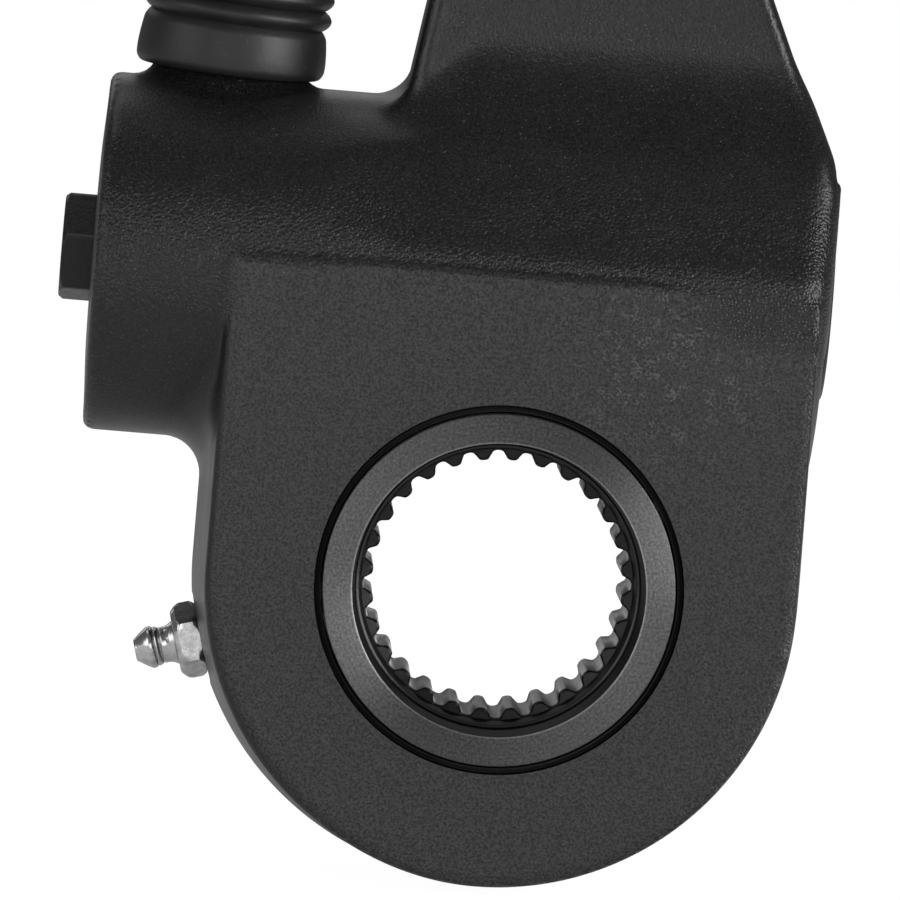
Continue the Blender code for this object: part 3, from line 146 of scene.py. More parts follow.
floor_height = cad_box[0].z - 0.0002
floor_half = 4.0
floor_mesh = bpy.data.meshes.new("floor")
floor_mesh.from_pydata([(x * floor_half, y * floor_half, floor_height)
                        for x, y in ((-1, -1), (1, -1), (1, 1), (-1, 1))], [], [(0, 1, 2, 3)])
floor_mesh.materials.append(sweep_material)
floor = bpy.data.objects.new("floor", floor_mesh)
bpy.context.collection.objects.link(floor)

world = bpy.data.worlds.new("studio")
bpy.context.scene.world = world
world.use_nodes = True
tree = world.node_tree
tree.nodes.clear()
path = add_node(tree, "ShaderNodeLightPath")
dim = add_node(tree, "ShaderNodeBackground", {"Color": white, "Strength": sky_glow})
bright = add_node(tree, "ShaderNodeBackground", {"Color": white, "Strength": 1.0})
sky = add_node(tree, "ShaderNodeMixShader",
               {0: path.outputs["Is Camera Ray"], 1: dim.outputs[0], 2: bright.outputs[0]})
add_node(tree, "ShaderNodeOutputWorld", {"Surface": sky.outputs[0]})

soft_lamp("front_lamp", (-0.42, -2.3, 0.28), (0.9, 0.9), 6.6)
soft_lamp("left_lamp", (-1.45, -0.85, 0.35), (1.1, 1.2), 7.2)
soft_lamp("right_lamp", (1.35, -0.95, 0.35), (1.1, 1.2), 26.5)
soft_lamp("top_lamp", (-0.3, 0.5, 1.8), (1.6, 1.0), 6.0)
soft_lamp("back_lamp", (-0.3, 1.9, 0.95), (2.4, 0.7), 4.0)

# The housing: one iron casting with the round barrel of the wheel, the worm housing across its top, the
# boot's neck and the arm, all run together by cast fillets, then bored and painted black. The paint is
# powdery and a little scuffed on the pad, and the worm housing's shows the grain of the sand mould.
barrel_side = 0.0435
barrel_front = -0.0260
barrel_back = 0.0224
barrel_draft = ((barrel_front, 0.0016), (barrel_front + 0.0014, 0.0013), (0, 0), (barrel_back, 0.0005))
left_draft = 0.5
pad_top = 0.0445
pad_corner = 0.0018
pad_edge = (0.0007, 0.0009)
pad_sunk = 0.0007
worm_height = 0.04245
worm_housing_radius = 0.0254
worm_housing_ends = (-0.0612, 0.0439)
worm_end_roundings = (0.0015, 0.0050)
worm_end_dome = 0.0005
worm_belly = 0.0004
root_slope = math.radians(30)
root_flat = 0.0015
neck_place = (-0.0440, 0.0040)
neck_radius = 0.0104
neck_top = 0.07485
neck_edge = 0.0006
eye_height = 0.1397
eye_radius = 0.0155
arm_half = (0.0120, 0.0095)
arm_corner = (0.0317, 0.06045)
arm_corner_radius = 0.0115
arm_left_foot = -0.0224
arm_slopes = (math.radians(8.5), math.radians(23.7))
arm_edge = 0.0024
eye_fillet = 0.0040
barrel_fillet = (0.0010, 0.0045)
neck_fillet = 0.0036
arm_fillet = (0.0045, 0.0075)
right_end_rounding = 0.0022
cast_cell = 0.0008


def eased_step(value, low, high):
    """Nought below low, one above high, and a smooth cubic between them."""
    share = np.clip((value - low) / (high - low), 0, 1)
    return share * share * (3 - 2 * share)


def round_corner(a, b, radius):
    """Distance to the space inside both a and b, whose meeting edge is rounded off to that radius."""
    outer = np.hypot(np.maximum(a + radius, 0), np.maximum(b + radius, 0))
    return np.minimum(np.maximum(a, b), -radius) + outer


def hollow_fillet(a, b, radius):
    """Distance to the space inside a or b, with a hollow fillet of that radius where they meet."""
    inner = np.hypot(np.maximum(radius - a, 0), np.maximum(radius - b, 0))
    return np.maximum(np.minimum(a, b), radius) - inner


def cast_distance(points):
    """Signed distance to the rough casting.

    The barrel is a half round under two straight sides, whose half width shrinks towards the front and the
    back as the draft says, more on the left. Its front pad fades into the worm housing on the right. The
    worm housing is a cylinder along X with a slightly domed left end, flattened at the root of the arm and
    a little fuller below, and the neck is a cylinder along Z. The arm is what lies between two slopes, with
    one round corner, joined to the round eye, as thick as its height says. Hollow fillets join them all, and
    one last rounding runs down the right end.
    """
    x, y, z = points[..., 0], points[..., 1], points[..., 2]
    towards_right = eased_step(x, 0.012, 0.034)
    draft = np.interp(y, *zip(*barrel_draft)) * (1 + left_draft * eased_step(-x, 0, 0.030))
    side = np.hypot(x, np.minimum(z, 0)) - (barrel_side - draft)
    outline = round_corner(side, z - pad_top, pad_corner)
    sunk = pad_sunk * towards_right * eased_step(z, 0.030, 0.043)
    edge = pad_edge[0] + pad_edge[1] * eased_step(-x, 0.020, 0.034)
    barrel = round_corner(outline, np.maximum(barrel_front + sunk - y, y - barrel_back), edge)

    away = np.hypot(y, z - worm_height)
    around = np.arctan2(z - worm_height, -y) - root_slope
    flat = worm_housing_radius - root_flat * eased_step(x, -0.036, -0.014)
    flat = flat / np.maximum(np.cos(around), 0.3)
    blend_width = 0.0002
    limit = -blend_width * np.logaddexp(-worm_housing_radius / blend_width, -flat / blend_width)
    across = away - limit - worm_belly * eased_step(worm_height - z, 0.012, worm_housing_radius)
    left_end = worm_housing_ends[0] + worm_end_dome * eased_step(away, 0.012, worm_housing_radius)
    tube = round_corner(across, left_end - x, worm_end_roundings[0])
    tube = round_corner(tube, x - worm_housing_ends[1], worm_end_roundings[1])

    neck_side = np.hypot(x - neck_place[0], y - neck_place[1]) - neck_radius
    neck = round_corner(neck_side, np.maximum(z - neck_top, worm_height - z), neck_edge)

    lean_left, lean_right = arm_slopes
    left = (arm_left_foot - x) * math.cos(lean_left) + (z - worm_height) * math.sin(lean_left)
    from_x, from_z = x - arm_corner[0], z - arm_corner[1]
    slope = from_x * math.cos(lean_right) + from_z * math.sin(lean_right)
    turn = np.arctan2(from_z, from_x)
    in_corner = (turn > 0) & (turn < lean_right)
    right = np.where(in_corner, np.hypot(from_x, from_z), np.maximum(from_x, slope)) - arm_corner_radius
    blade = np.maximum(np.maximum(left, right), np.maximum(worm_height - z, z - eye_height))
    eye = np.hypot(x, z - eye_height) - eye_radius
    arm_outline = hollow_fillet(blade, eye, eye_fillet)
    rise = (z - worm_height) / (eye_height - worm_height)
    half = arm_half[0] + (arm_half[1] - arm_half[0]) * rise
    arm = round_corner(arm_outline, np.abs(y) - half, arm_edge)

    fillet = barrel_fillet[0] + barrel_fillet[1] * eased_step(-z, -0.030, -0.018)
    body = hollow_fillet(barrel, tube, fillet * (1 - 0.9 * towards_right))
    body = hollow_fillet(body, neck, neck_fillet)
    body = hollow_fillet(body, arm, arm_fillet[0] + arm_fillet[1] * eased_step(x, -0.019, -0.008))
    right_end = np.minimum(x - worm_housing_ends[1] + np.maximum(z - arm_corner[1], 0), right)
    return round_corner(body, right_end, right_end_rounding * eased_step(z, -0.005, 0.025))


def shell_of(distance, low, high, cell):
    """Points and faces of the surface where a distance is nought.

    Each cube of a grid that the surface passes through holds one point, slid along the slope of the distance
    until it lies on the surface, and each grid line that crosses the surface makes a face of the four cubes
    around it.
    """
    lines = [np.arange(a, b + cell, cell) for a, b in zip(low, high)]
    inside = distance(np.stack(np.meshgrid(*lines, indexing="ij"), -1)) < 0
    corners = np.zeros([len(line) - 1 for line in lines], int)
    for i, j, k in np.ndindex(2, 2, 2):
        corners += inside[i:i - 1 or None, j:j - 1 or None, k:k - 1 or None]
    cut_cells = (corners > 0) & (corners < 8)
    number = np.full(cut_cells.shape, -1)
    number[cut_cells] = np.arange(cut_cells.sum())
    points = np.argwhere(cut_cells) * cell + np.array([line[0] for line in lines]) + cell / 2
    step = 1e-5
    slides = 5
    for _ in range(slides):
        value = distance(points)
        slope = np.stack([(distance(points + step * unit) - value) / step for unit in np.eye(3)], -1)
        points = points - value[:, None] * slope / np.maximum((slope ** 2).sum(-1, keepdims=True), 0.2)
    faces = []
    for axis in range(3):
        before = np.take(inside, np.arange(len(lines[axis]) - 1), axis)
        after = np.take(inside, np.arange(1, len(lines[axis])), axis)
        at = np.argwhere(before != after)
        one, two = np.eye(3, dtype=int)[(axis + 1) % 3], np.eye(3, dtype=int)[(axis + 2) % 3]
        around = np.stack([number[tuple((at - shift).T)] for shift in (0 * one, one, one + two, two)], -1)
        outwards = before[tuple(at.T)]
        faces.append(np.where(outwards[:, None], around, around[:, ::-1]))
    return points, np.concatenate(faces)


def piece_of(name, points, faces):
    """A mesh object at the origin, from an array of points and one of four-cornered faces."""
    mesh = bpy.data.meshes.new(name)
    mesh.vertices.add(len(points))
    mesh.vertices.foreach_set("co", np.asarray(points, np.float32).ravel())
    mesh.loops.add(faces.size)
    mesh.loops.foreach_set("vertex_index", faces.astype(np.int32).ravel())
    mesh.polygons.add(len(faces))
    mesh.polygons.foreach_set("loop_start", np.arange(0, faces.size, 4, dtype=np.int32))
    mesh.update(calc_edges=True)
    mesh.validate()
    piece = bpy.data.objects.new(name, mesh)
    bpy.context.collection.objects.link(piece)
    return piece


def shell_piece(name, node, distance, cell):
    """A piece whose surface is where a distance is nought, looked for in the node's box and just round it."""
    low, high = [np.array(corner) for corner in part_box(node)]
    return piece_of(name, *shell_of(distance, low - 3 * cell, high + 3 * cell, cell))


def shaded(piece, angle=30):
    """Smooth shading, with edges sharper than the angle left sharp."""
    piece.data.shade_smooth()
    piece.data.set_sharp_from_angle(angle=math.radians(angle))
    return piece


def eased(corners, cut, closed=False):
    """Rounds an outline's corners: each becomes a quadratic curve that starts and ends at most `cut` from it.

    An open outline keeps its two ends.
    """
    corner = np.array(corners, float)
    sides = [np.roll(corner, shift, 0) - corner for shift in (1, -1)]
    lengths = [np.maximum(np.linalg.norm(side, axis=1, keepdims=True), 1e-9) for side in sides]
    reach = np.minimum(cut, 0.4 * np.minimum(*lengths))
    if not closed:
        reach[[0, -1]] = 0
    start, end = [corner + side / length * reach for side, length in zip(sides, lengths)]
    t = np.linspace(0, 1, 5)[None, :, None]
    curve = (1 - t) ** 2 * start[:, None] + 2 * t * (1 - t) * corner[:, None] + t ** 2 * end[:, None]
    return curve.reshape(-1, 2)


def axes_along(direction):
    """Three unit vectors, the third along the direction and the first level where it can be."""
    third = np.array(direction, float) / np.linalg.norm(direction)
    first = np.cross((0, 0, 1), third)
    if np.linalg.norm(first) < 1e-6:
        first = np.array((1.0, 0.0, 0.0))
    first = first / np.linalg.norm(first)
    return np.stack([first, np.cross(third, first), third])


def full_turn(count):
    """Evenly spaced angles round a full turn."""
    return np.linspace(0, 2 * np.pi, count, endpoint=False)


def ring_faces(rows, columns, closed=False):
    """Faces of a grid of points whose columns run round, and whose last row joins the first where closed."""
    index = np.arange(rows * columns).reshape(rows, columns)
    up = np.roll(index, -1, 0) if closed else index[1:]
    here = index if closed else index[:-1]
    return np.stack([here, np.roll(here, -1, 1), np.roll(up, -1, 1), up], -1).reshape(-1, 4)


def round_piece(name, radius, height, place, direction, closed=False, turns=96):
    """A piece turned about an axis: rows of a radius and a height, each carried round the axis.

    Radius and height may be one number a row, or one a row and column where the outline isn't round. A
    closed piece joins its last row to its first. Turns is how many columns there are, or the angle of each.
    """
    radius, height = np.asarray(radius, float), np.asarray(height, float)
    if radius.ndim == 1:
        radius = radius[:, None]
    if height.ndim == 1:
        height = height[:, None]
    angle = full_turn(turns) if isinstance(turns, int) else turns
    rows, columns = len(radius), len(angle)
    radius, height = np.broadcast_to(radius, (rows, columns)), np.broadcast_to(height, (rows, columns))
    local = np.stack([radius * np.cos(angle), radius * np.sin(angle), height], -1)
    points = (local @ axes_along(direction) + np.array(place)).reshape(-1, 3)
    return cleaned(piece_of(name, points, ring_faces(rows, columns, closed)))


def cleaned(piece):
    """Merges points that lie together, such as a pole's, and turns the faces outwards."""
    mesh = bmesh.new()
    mesh.from_mesh(piece.data)
    bmesh.ops.remove_doubles(mesh, verts=mesh.verts, dist=1e-7)
    bmesh.ops.recalc_face_normals(mesh, faces=mesh.faces)
    mesh.to_mesh(piece.data)
    mesh.free()
    return piece


def turned_piece(name, corners, place, direction, edge=0.0003, closed=False, turns=96):
    """A piece turned from (radius, height) corners with softened edges, closed where it has a hole."""
    radius, height = eased(corners, edge, closed).T
    return round_piece(name, radius, height, place, direction, closed, turns)


def carve(piece, *cutters):
    """Takes the cutters out of a piece and deletes them."""
    for cutter in cutters:
        bore = piece.modifiers.new("bore", "BOOLEAN")
        bore.operation = "DIFFERENCE"
        bore.solver = "MANIFOLD"
        bore.object = cutter
    graph = bpy.context.evaluated_depsgraph_get()
    carved = bpy.data.meshes.new_from_object(piece.evaluated_get(graph))
    piece.modifiers.clear()
    piece.data = carved
    for cutter in cutters:
        bpy.data.objects.remove(cutter)
    return piece


along_y, along_x, along_z = (0, 1, 0), (1, 0, 0), (0, 0, 1)
past = 0.02


def bore(profile, place=(0, 0, 0), direction=along_y):
    """A cutter for a bore, from (radius, height) corners. It is flat at both ends."""
    radius, height = np.array([(0, profile[0][1]), *profile, (0, profile[-1][1])]).T
    return round_piece("cutter", radius, height, place, direction)


def chamfered_hole(radius, mouth, half):
    """Corners of a hole through two faces at that half width, chamfered to a wider mouth at both."""
    inner = half - 0.0006
    return [(mouth, -half - past), (mouth, -half), (radius, -inner), (radius, inner), (mouth, half),
            (mouth, half + past)]


chamber_radius = 0.0359
hub_bore_radius = 0.0252
seal_groove_radius = 0.02615
worm_bore_radius = 0.0132
plug_seat_radius = 0.0137
journal_bore_radius = 0.00848
rack_bore_radius = 0.0084
bushing_seat_radius = 0.00855
chamber = [(chamber_radius, -0.0120), (chamber_radius, barrel_back + past)]
cover_seat = [(barrel_side, 0.0221), (barrel_side, 0.0221 + past)]
hub_bore = [(seal_groove_radius, barrel_front - past), (seal_groove_radius, -0.0209),
            (hub_bore_radius, -0.0209), (hub_bore_radius, -0.0110)]
worm_bore = [(journal_bore_radius + 0.0006, -0.0612 - past), (journal_bore_radius + 0.0006, -0.0612),
             (journal_bore_radius, -0.0606), (journal_bore_radius, -0.0535), (worm_bore_radius, -0.0535),
             (worm_bore_radius, 0.0307), (plug_seat_radius, 0.0307), (plug_seat_radius, 0.0435),
             (plug_seat_radius + 0.0006, 0.0441), (plug_seat_radius + 0.0006, 0.0441 + past)]
rack_bore = [(rack_bore_radius, 0.02295), (rack_bore_radius, neck_top - 0.0005),
             (rack_bore_radius + 0.0005, neck_top), (rack_bore_radius + 0.0005, neck_top + past)]
eye_bore = chamfered_hole(bushing_seat_radius, bushing_seat_radius + 0.0006, arm_half[1])
fitting_angle = math.radians(196)
fitting_way = (math.cos(fitting_angle), 0, math.sin(fitting_angle))
fitting_hole = [(0.0034, 0.0339), (0.0034, 0.0427), (0.0064, 0.0427), (0.0067, 0.0430),
                (0.0067, 0.0430 + past)]
screw_circle = 0.0393
screw_places = [(screw_circle * math.cos(angle), 0, screw_circle * math.sin(angle)) for angle in full_turn(6)]
screw_hole_radius = 0.00205
screw_hole = [(screw_hole_radius, 0.0136), (screw_hole_radius, 0.0216), (screw_hole_radius + 0.0004, 0.0221),
              (screw_hole_radius + 0.0004, 0.0221 + past)]
housing = shell_piece("housing_casting", "housing", cast_distance, cast_cell)
carve(housing, bore(fitting_hole, (0, 0, 0), fitting_way),
      *[bore(screw_hole, screw_place) for screw_place in screw_places])
carve(housing, bore(chamber), bore(cover_seat), bore(hub_bore), bore(worm_bore, (0, 0, worm_height), along_x),
      bore(rack_bore, (*neck_place, 0), along_z), bore(eye_bore, (0, 0, eye_height)))
shaded(housing)


def new_material(name, metallic=0.0):
    """A material with a Principled shader, its node tree and its Object coordinates."""
    material = bpy.data.materials.new(name)
    material.use_nodes = True
    tree = material.node_tree
    shader = tree.nodes["Principled BSDF"]
    shader.inputs["Metallic"].default_value = metallic
    place = tree.nodes.new("ShaderNodeTexCoord").outputs["Object"]
    return material, tree, shader, place


def ramp(tree, value, low, high, to_low=0.0, to_high=1.0):
    """Maps a range of a value to another range, clamped."""
    made = add_node(tree, "ShaderNodeMapRange", {"Value": value, "From Min": low, "From Max": high,
                                                 "To Min": to_low, "To Max": to_high})
    return made.outputs["Result"]


def noise(tree, place, size, detail=3.0, roughness=0.5):
    """Noise whose lumps are about a given size, from 0 to 1."""
    made = add_node(tree, "ShaderNodeTexNoise", {"Vector": place, "Scale": 1 / size, "Detail": detail,
                                                 "Roughness": roughness})
    return made.outputs["Fac"]


def multiplied(tree, *values):
    """The product of some values."""
    product = values[0]
    for value in values[1:]:
        product = maths(tree, "MULTIPLY", product, value)
    return product


def dented(tree, shader, *layers):
    """Bumps from layers of (height, depth in metres), one over the other, into the shader."""
    below = None
    for height, depth in layers:
        bump = add_node(tree, "ShaderNodeBump", {"Height": height, "Distance": depth, "Strength": 1.0})
        if below is not None:
            tree.links.new(below, bump.inputs["Normal"])
        below = bump.outputs["Normal"]
    tree.links.new(below, shader.inputs["Normal"])


def rough(tree, shader, value, low, high):
    """Lets the shader's roughness go from low to high with the middle of a noise's range."""
    tree.links.new(ramp(tree, value, 0.3, 0.7, low, high), shader.inputs["Roughness"])


def coloured(tree, shader, share, first, second):
    """Mixes two colours by a share into the shader. The first may be what an earlier mix gave."""
    mix = add_node(tree, "ShaderNodeMix", {"Factor": share}, data_type="RGBA")
    for socket, colour in ((mix.inputs[6], first), (mix.inputs[7], second)):
        if isinstance(colour, bpy.types.NodeSocket):
            tree.links.new(colour, socket)
        else:
            socket.default_value = (*colour, 1.0)
    tree.links.new(mix.outputs[2], shader.inputs["Base Color"])
    return mix.outputs[2]


def finished(piece, material, body, node):
    """Gives a piece its material, the node that it stands for and the body that it moves with."""
    piece.data.materials.clear()
    piece.data.materials.append(material)
    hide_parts(node)
    if body:
        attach(piece, body)


black_paint, tree, shader, place = new_material("black_cast_paint")
parts_of = add_node(tree, "ShaderNodeSeparateXYZ", {"Vector": place}).outputs
pad = ramp(tree, parts_of["Y"], -0.02545, -0.02575)
skin_share = ramp(tree, pad, 0.0, 1.0, 1.0, 0.35)
top_calm = ramp(tree, parts_of["Z"], 0.052, 0.062, 1.0, 0.15)
low_calm = ramp(tree, parts_of["Z"], 0.036, 0.030, 1.0, 0.15)
granule_size, granule_depth = 0.00046, 0.00009
cells = add_node(tree, "ShaderNodeTexVoronoi", {"Vector": place, "Scale": 1 / granule_size}, feature="F1")
granules = multiplied(tree, ramp(tree, cells.outputs["Distance"], 0.75, 0.05), skin_share, top_calm, low_calm)
grain_size, grain_depth = 0.00036, 0.00012
grain = noise(tree, place, grain_size, 2.0)
grain_share = ramp(tree, pad, 0.0, 1.0, 0.45, 1.0)
dented(tree, shader, (granules, granule_depth), (multiplied(tree, grain, grain_share), grain_depth))
dark_skin, light_skin = (0.0010, 0.0010, 0.0012), (0.0170, 0.0170, 0.0176)
skin = coloured(tree, shader, ramp(tree, grain, 0.30, 0.72), dark_skin, light_skin)
powdery = multiplied(tree, ramp(tree, grain, 0.36, 0.66), pad)
skin = coloured(tree, shader, powdery, skin, (0.0385, 0.0385, 0.0408))
specks = ramp(tree, noise(tree, place, 0.00026, 1.0), 0.70, 0.76)
scuff_place = (0.0220, -0.0260, 0.0350)
from_scuff = add_node(tree, "ShaderNodeVectorMath", {0: place, 1: scuff_place}, operation="DISTANCE")
scuffed = multiplied(tree, ramp(tree, from_scuff.outputs["Value"], 0.019, 0.008),
                     ramp(tree, noise(tree, place, 0.0021, 5.0, 0.7), 0.52, 0.60),
                     ramp(tree, grain, 0.46, 0.62), pad)
marks = maths(tree, "MAXIMUM", multiplied(tree, specks, 0.8), multiplied(tree, scuffed, 0.55))
coloured(tree, shader, marks, skin, (0.130, 0.130, 0.132))
rough(tree, shader, noise(tree, place, 0.0060, 3.0), 0.31, 0.37)
finished(housing, black_paint, "housing", "housing")

# The worm wheel and its hub: one turned iron piece with straight splines in its bore, a deep recess at each
# end, and helical teeth round its rim.
hub_radius = 0.0249
hub_half = 0.0264
recess_radius = 0.0207
recess_depth = 0.0142
spline_count = 28
spline_tip = 0.01772
spline_root = 0.01908
wheel_teeth = 26
wheel_module = 0.0025
wheel_half_face = 0.010
worm_pitch_radius = 0.00995
squareness = 0.6
tooth_foot, tooth_flank = 0.36, 0.22
tooth_depth, root_depth = 2.2, 1.2


def spline_radius(angle):
    """Radius of the splined bore at an angle: a cosine wave squared off by dividing it by its own length."""
    wave = np.cos(angle * spline_count)
    share = 0.5 + 0.5 * wave * math.hypot(1, squareness) / np.hypot(wave, squareness)
    return spline_tip + (spline_root - spline_tip) * share


def gear_radius(angle, height):
    """Radius of the toothed rim: a rounded trapezium wave that turns with the height, a tooth at the top."""
    lead = wheel_module / 2 / worm_pitch_radius / (wheel_module * wheel_teeth / 2)
    share = np.mod((angle - lead * height) / (2 * np.pi) * wheel_teeth + 0.5, 1.0) - 0.5
    rise = np.clip((tooth_foot - np.abs(share)) / tooth_flank, 0, 1)
    root = wheel_module * (wheel_teeth / 2 - root_depth)
    return root + tooth_depth * wheel_module * rise


def stacked(columns, *parts):
    """Joins parts of an outline, each (radii, heights), into one whose rows have a radius for every column.

    A part's rows may have one radius each or one for every column.
    """
    radii = [np.broadcast_to(np.reshape(radius, (len(height), -1)), (len(height), len(columns)))
             for radius, height in parts]
    return np.concatenate(radii), np.concatenate([height for _, height in parts])


spline_lead = math.radians(4.2)
spline_steps = np.linspace(0, 1, 12, endpoint=False)
spline_turns = (np.arange(spline_count)[:, None] + spline_steps).ravel() / spline_count
spline_turns = spline_turns - spline_lead / (2 * np.pi)
tooth_corners = np.array((-0.37, -0.36, -0.25, -0.14, 0.14, 0.25, 0.36, 0.37))
gear_turns = (np.arange(wheel_teeth)[:, None] + tooth_corners).ravel() / wheel_teeth
wheel_turns = np.unique(np.round(np.mod(np.concatenate([spline_turns, gear_turns]), 1.0), 5))
wheel_columns = wheel_turns * 2 * np.pi - np.pi / 2
recess_floor = hub_half - recess_depth
front_radius, front_height = eased(
    [(hub_radius, wheel_half_face), (hub_radius, hub_half), (recess_radius, hub_half),
     (recess_radius - 0.0004, hub_half - 0.0088), (recess_radius - 0.0010, hub_half - 0.0092),
     (recess_radius - 0.0013, recess_floor)], 0.0002).T
spline_edge = 0.0004
spline_row = spline_radius(wheel_columns + np.pi / 2 + spline_lead)
worn_row = np.minimum(spline_row + spline_edge, spline_root + 0.0002)
spline_row = np.minimum(spline_row, spline_root + 0.0002)
spline_rows = [worn_row, spline_row, spline_row, worn_row]
spline_heights = (-recess_floor, spline_edge - recess_floor, recess_floor - spline_edge, recess_floor)
rim_heights = np.linspace(wheel_half_face, -wheel_half_face, 5)
rim_rows = [gear_radius(wheel_columns + np.pi / 2, height) for height in rim_heights]
wheel_rows = stacked(wheel_columns, (front_radius, -front_height), (spline_rows, spline_heights),
                     (front_radius[::-1], front_height[::-1]), (rim_rows, rim_heights))
wheel = round_piece("worm_wheel_and_hub", *wheel_rows, (0, 0, 0), along_y, True, wheel_columns)

turned_iron, tree, shader, place = new_material("turned_iron", 1.0)
dented(tree, shader, (noise(tree, place, 0.0005), 0.00003))
shader.inputs["Anisotropic"].default_value = 0.92
shader.inputs["Anisotropic Rotation"].default_value = 0.25
lathe_way = add_node(tree, "ShaderNodeTangent", direction_type="RADIAL", axis="Y")
tree.links.new(lathe_way.outputs["Tangent"], shader.inputs["Tangent"])
flat_place = add_node(tree, "ShaderNodeVectorMath", {0: place, 1: (1.0, 0.0, 1.0)}, operation="MULTIPLY")
from_axis = add_node(tree, "ShaderNodeVectorMath", {0: flat_place.outputs[0]}, operation="LENGTH")
from_axis = from_axis.outputs["Value"]
on_face = ramp(tree, from_axis, 0.02072, 0.02078)
mottle = ramp(tree, noise(tree, place, 0.0004, 4.0, 0.7), 0.36, 0.64, 0.45, 1.0)
ring_place = add_node(tree, "ShaderNodeCombineXYZ", {"X": from_axis}).outputs[0]
lathe_marks = ramp(tree, noise(tree, ring_place, 0.0003), 0.35, 0.65, 0.75, 1.0)
face = multiplied(tree, on_face, mottle, lathe_marks)
# The lighter ring along the recess's edge is a painted highlight of its thin bright line.
painted_edge_highlight = multiplied(tree, on_face, mottle, ramp(tree, from_axis, 0.02105, 0.02085))
# The lighter ring on the recess's step is a painted highlight of the step's edge.
painted_shoulder_highlight = multiplied(tree, ramp(tree, from_axis, 0.0197, 0.0198), ramp(tree, from_axis, 0.0201, 0.0200))
# The mask of the recess floor, which is given a painted shade below.
shaded_bore_floor = ramp(tree, from_axis, 0.01935, 0.01925)
depth_in = maths(tree, "ABSOLUTE", add_node(tree, "ShaderNodeSeparateXYZ", {"Vector": place}).outputs["Y"])
broached = multiplied(tree, ramp(tree, depth_in, recess_floor - 0.0003, recess_floor - 0.0006),
                      ramp(tree, from_axis, 0.0215, 0.0205))
# The base tone, near black, is painted shade on the recess wall, and the dark grey of the spline ends at the
# recess floor is painted shade as well.
iron_tone = (0.010, 0.010, 0.011)
for share, tone in ((face, (0.205, 0.205, 0.208)), (painted_edge_highlight, (0.36, 0.36, 0.36)),
                    (painted_shoulder_highlight, (0.085, 0.085, 0.085)), (shaded_bore_floor, (0.060, 0.060, 0.062)),
                    (broached, (0.50, 0.50, 0.50))):
    iron_tone = coloured(tree, shader, share, iron_tone, tone)
tree.links.new(ramp(tree, broached, 0.0, 1.0, 0.46, 0.62), shader.inputs["Roughness"])
finished(shaded(wheel, 35), turned_iron, "wheel", "worm_wheel")

# The hub seals: a moulded rubber ring with a lip at each end of the hub, pressed into its groove in the
# housing or in the cover and sunk a little below the face.
seal_inner = 0.0252
seal_outer = 0.0260
seal_back = 0.0212
seal_face = 0.0254
seal_corners = [(seal_inner, seal_back), (seal_outer, seal_back), (seal_outer, seal_face - 0.0003),
                (seal_outer - 0.0002, seal_face), (seal_outer - 0.0004, seal_face - 0.0006),
                (seal_inner + 0.0003, seal_face - 0.0006), (seal_inner + 0.0002, seal_face - 0.0001),
                (seal_inner, seal_face - 0.0002)]
seal_rubber, tree, shader, place = new_material("seal_rubber")
shader.inputs["Base Color"].default_value = (0.004, 0.004, 0.0042, 1.0)
dented(tree, shader, (noise(tree, place, 0.0004), 0.00002))
rough(tree, shader, noise(tree, place, 0.002), 0.6, 0.8)
for name, node, side in (("front_lip_ring", "front_hub_seal", -1), ("back_lip_ring", "back_hub_seal", 1)):
    corners = [(radius, side * height) for radius, height in seal_corners]
    lip_ring = turned_piece(name, corners, (0, 0, 0), along_y, 0.0001, True, 144)
    finished(shaded(lip_ring), seal_rubber, "housing", node)

# The thrust washers, worm washer and spindle washer: ground and oiled steel rings. They keep the frame's
# shapes, and so do the other ground pieces inside: worm, pinion, rack and link pin.


def metal(name, roughness, grain_size, clouds, light_from, dark, light):
    """A metal whose roughness and surface vary with a fine grain, and its colour with wide clouds."""
    material, tree, shader, place = new_material(name, 1.0)
    grain = noise(tree, place, grain_size)
    dented(tree, shader, (grain, 0.00001))
    rough(tree, shader, grain, roughness - 0.06, roughness + 0.06)
    coloured(tree, shader, ramp(tree, noise(tree, place, *clouds), 0.35, light_from), dark, light)
    return material


def dress(material, *nodes):
    """Gives nodes of the frame a better material."""
    for node in nodes:
        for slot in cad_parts[node].material_slots:
            slot.material = material


ground_steel = metal("ground_steel", 0.28, 0.0008, (0.004, 4.0), 0.65, (0.30, 0.29, 0.27), (0.46, 0.46, 0.47))
dress(ground_steel, "front_thrust_washer", "back_thrust_washer", "worm_washer", "spindle_washer", "worm",
      "clutch_pinion", "rack", "link_pin")

# The back cover: a turned steel plate with a round boss behind it that holds the rear seal and runs on the
# hub, blackened, over a gasket of pressed fibre, and held by six socket screws.
cover_corners = [(0.0252, 0.0120), (0.0310, 0.0120), (0.0310, 0.0233), (0.0429, 0.0233), (0.0429, 0.0254),
                 (0.0423, 0.0260), (0.0340, 0.0260), (0.0336, 0.0257), (0.0292, 0.0257), (0.0288, 0.0260),
                 (0.0265, 0.0260), (0.0263, 0.0258), (0.0263, 0.0209), (0.0252, 0.0209)]
cover = turned_piece("turned_back_cover", cover_corners, (0, 0, 0), along_y, 0.0002, True, 144)
cover_hole = [(screw_hole_radius, 0.0210), (screw_hole_radius, 0.0270)]
carve(cover, *[bore(cover_hole, screw_place) for screw_place in screw_places])
dark_steel, tree, shader, place = new_material("blackened_steel")
wear = noise(tree, place, 0.0011, 4.0, 0.6)
dented(tree, shader, (noise(tree, place, 0.0006), 0.00003))
rough(tree, shader, wear, 0.30, 0.42)
coloured(tree, shader, ramp(tree, wear, 0.42, 0.70), (0.003, 0.003, 0.0033), (0.010, 0.010, 0.0105))
finished(shaded(cover), dark_steel, "housing", "back_cover")
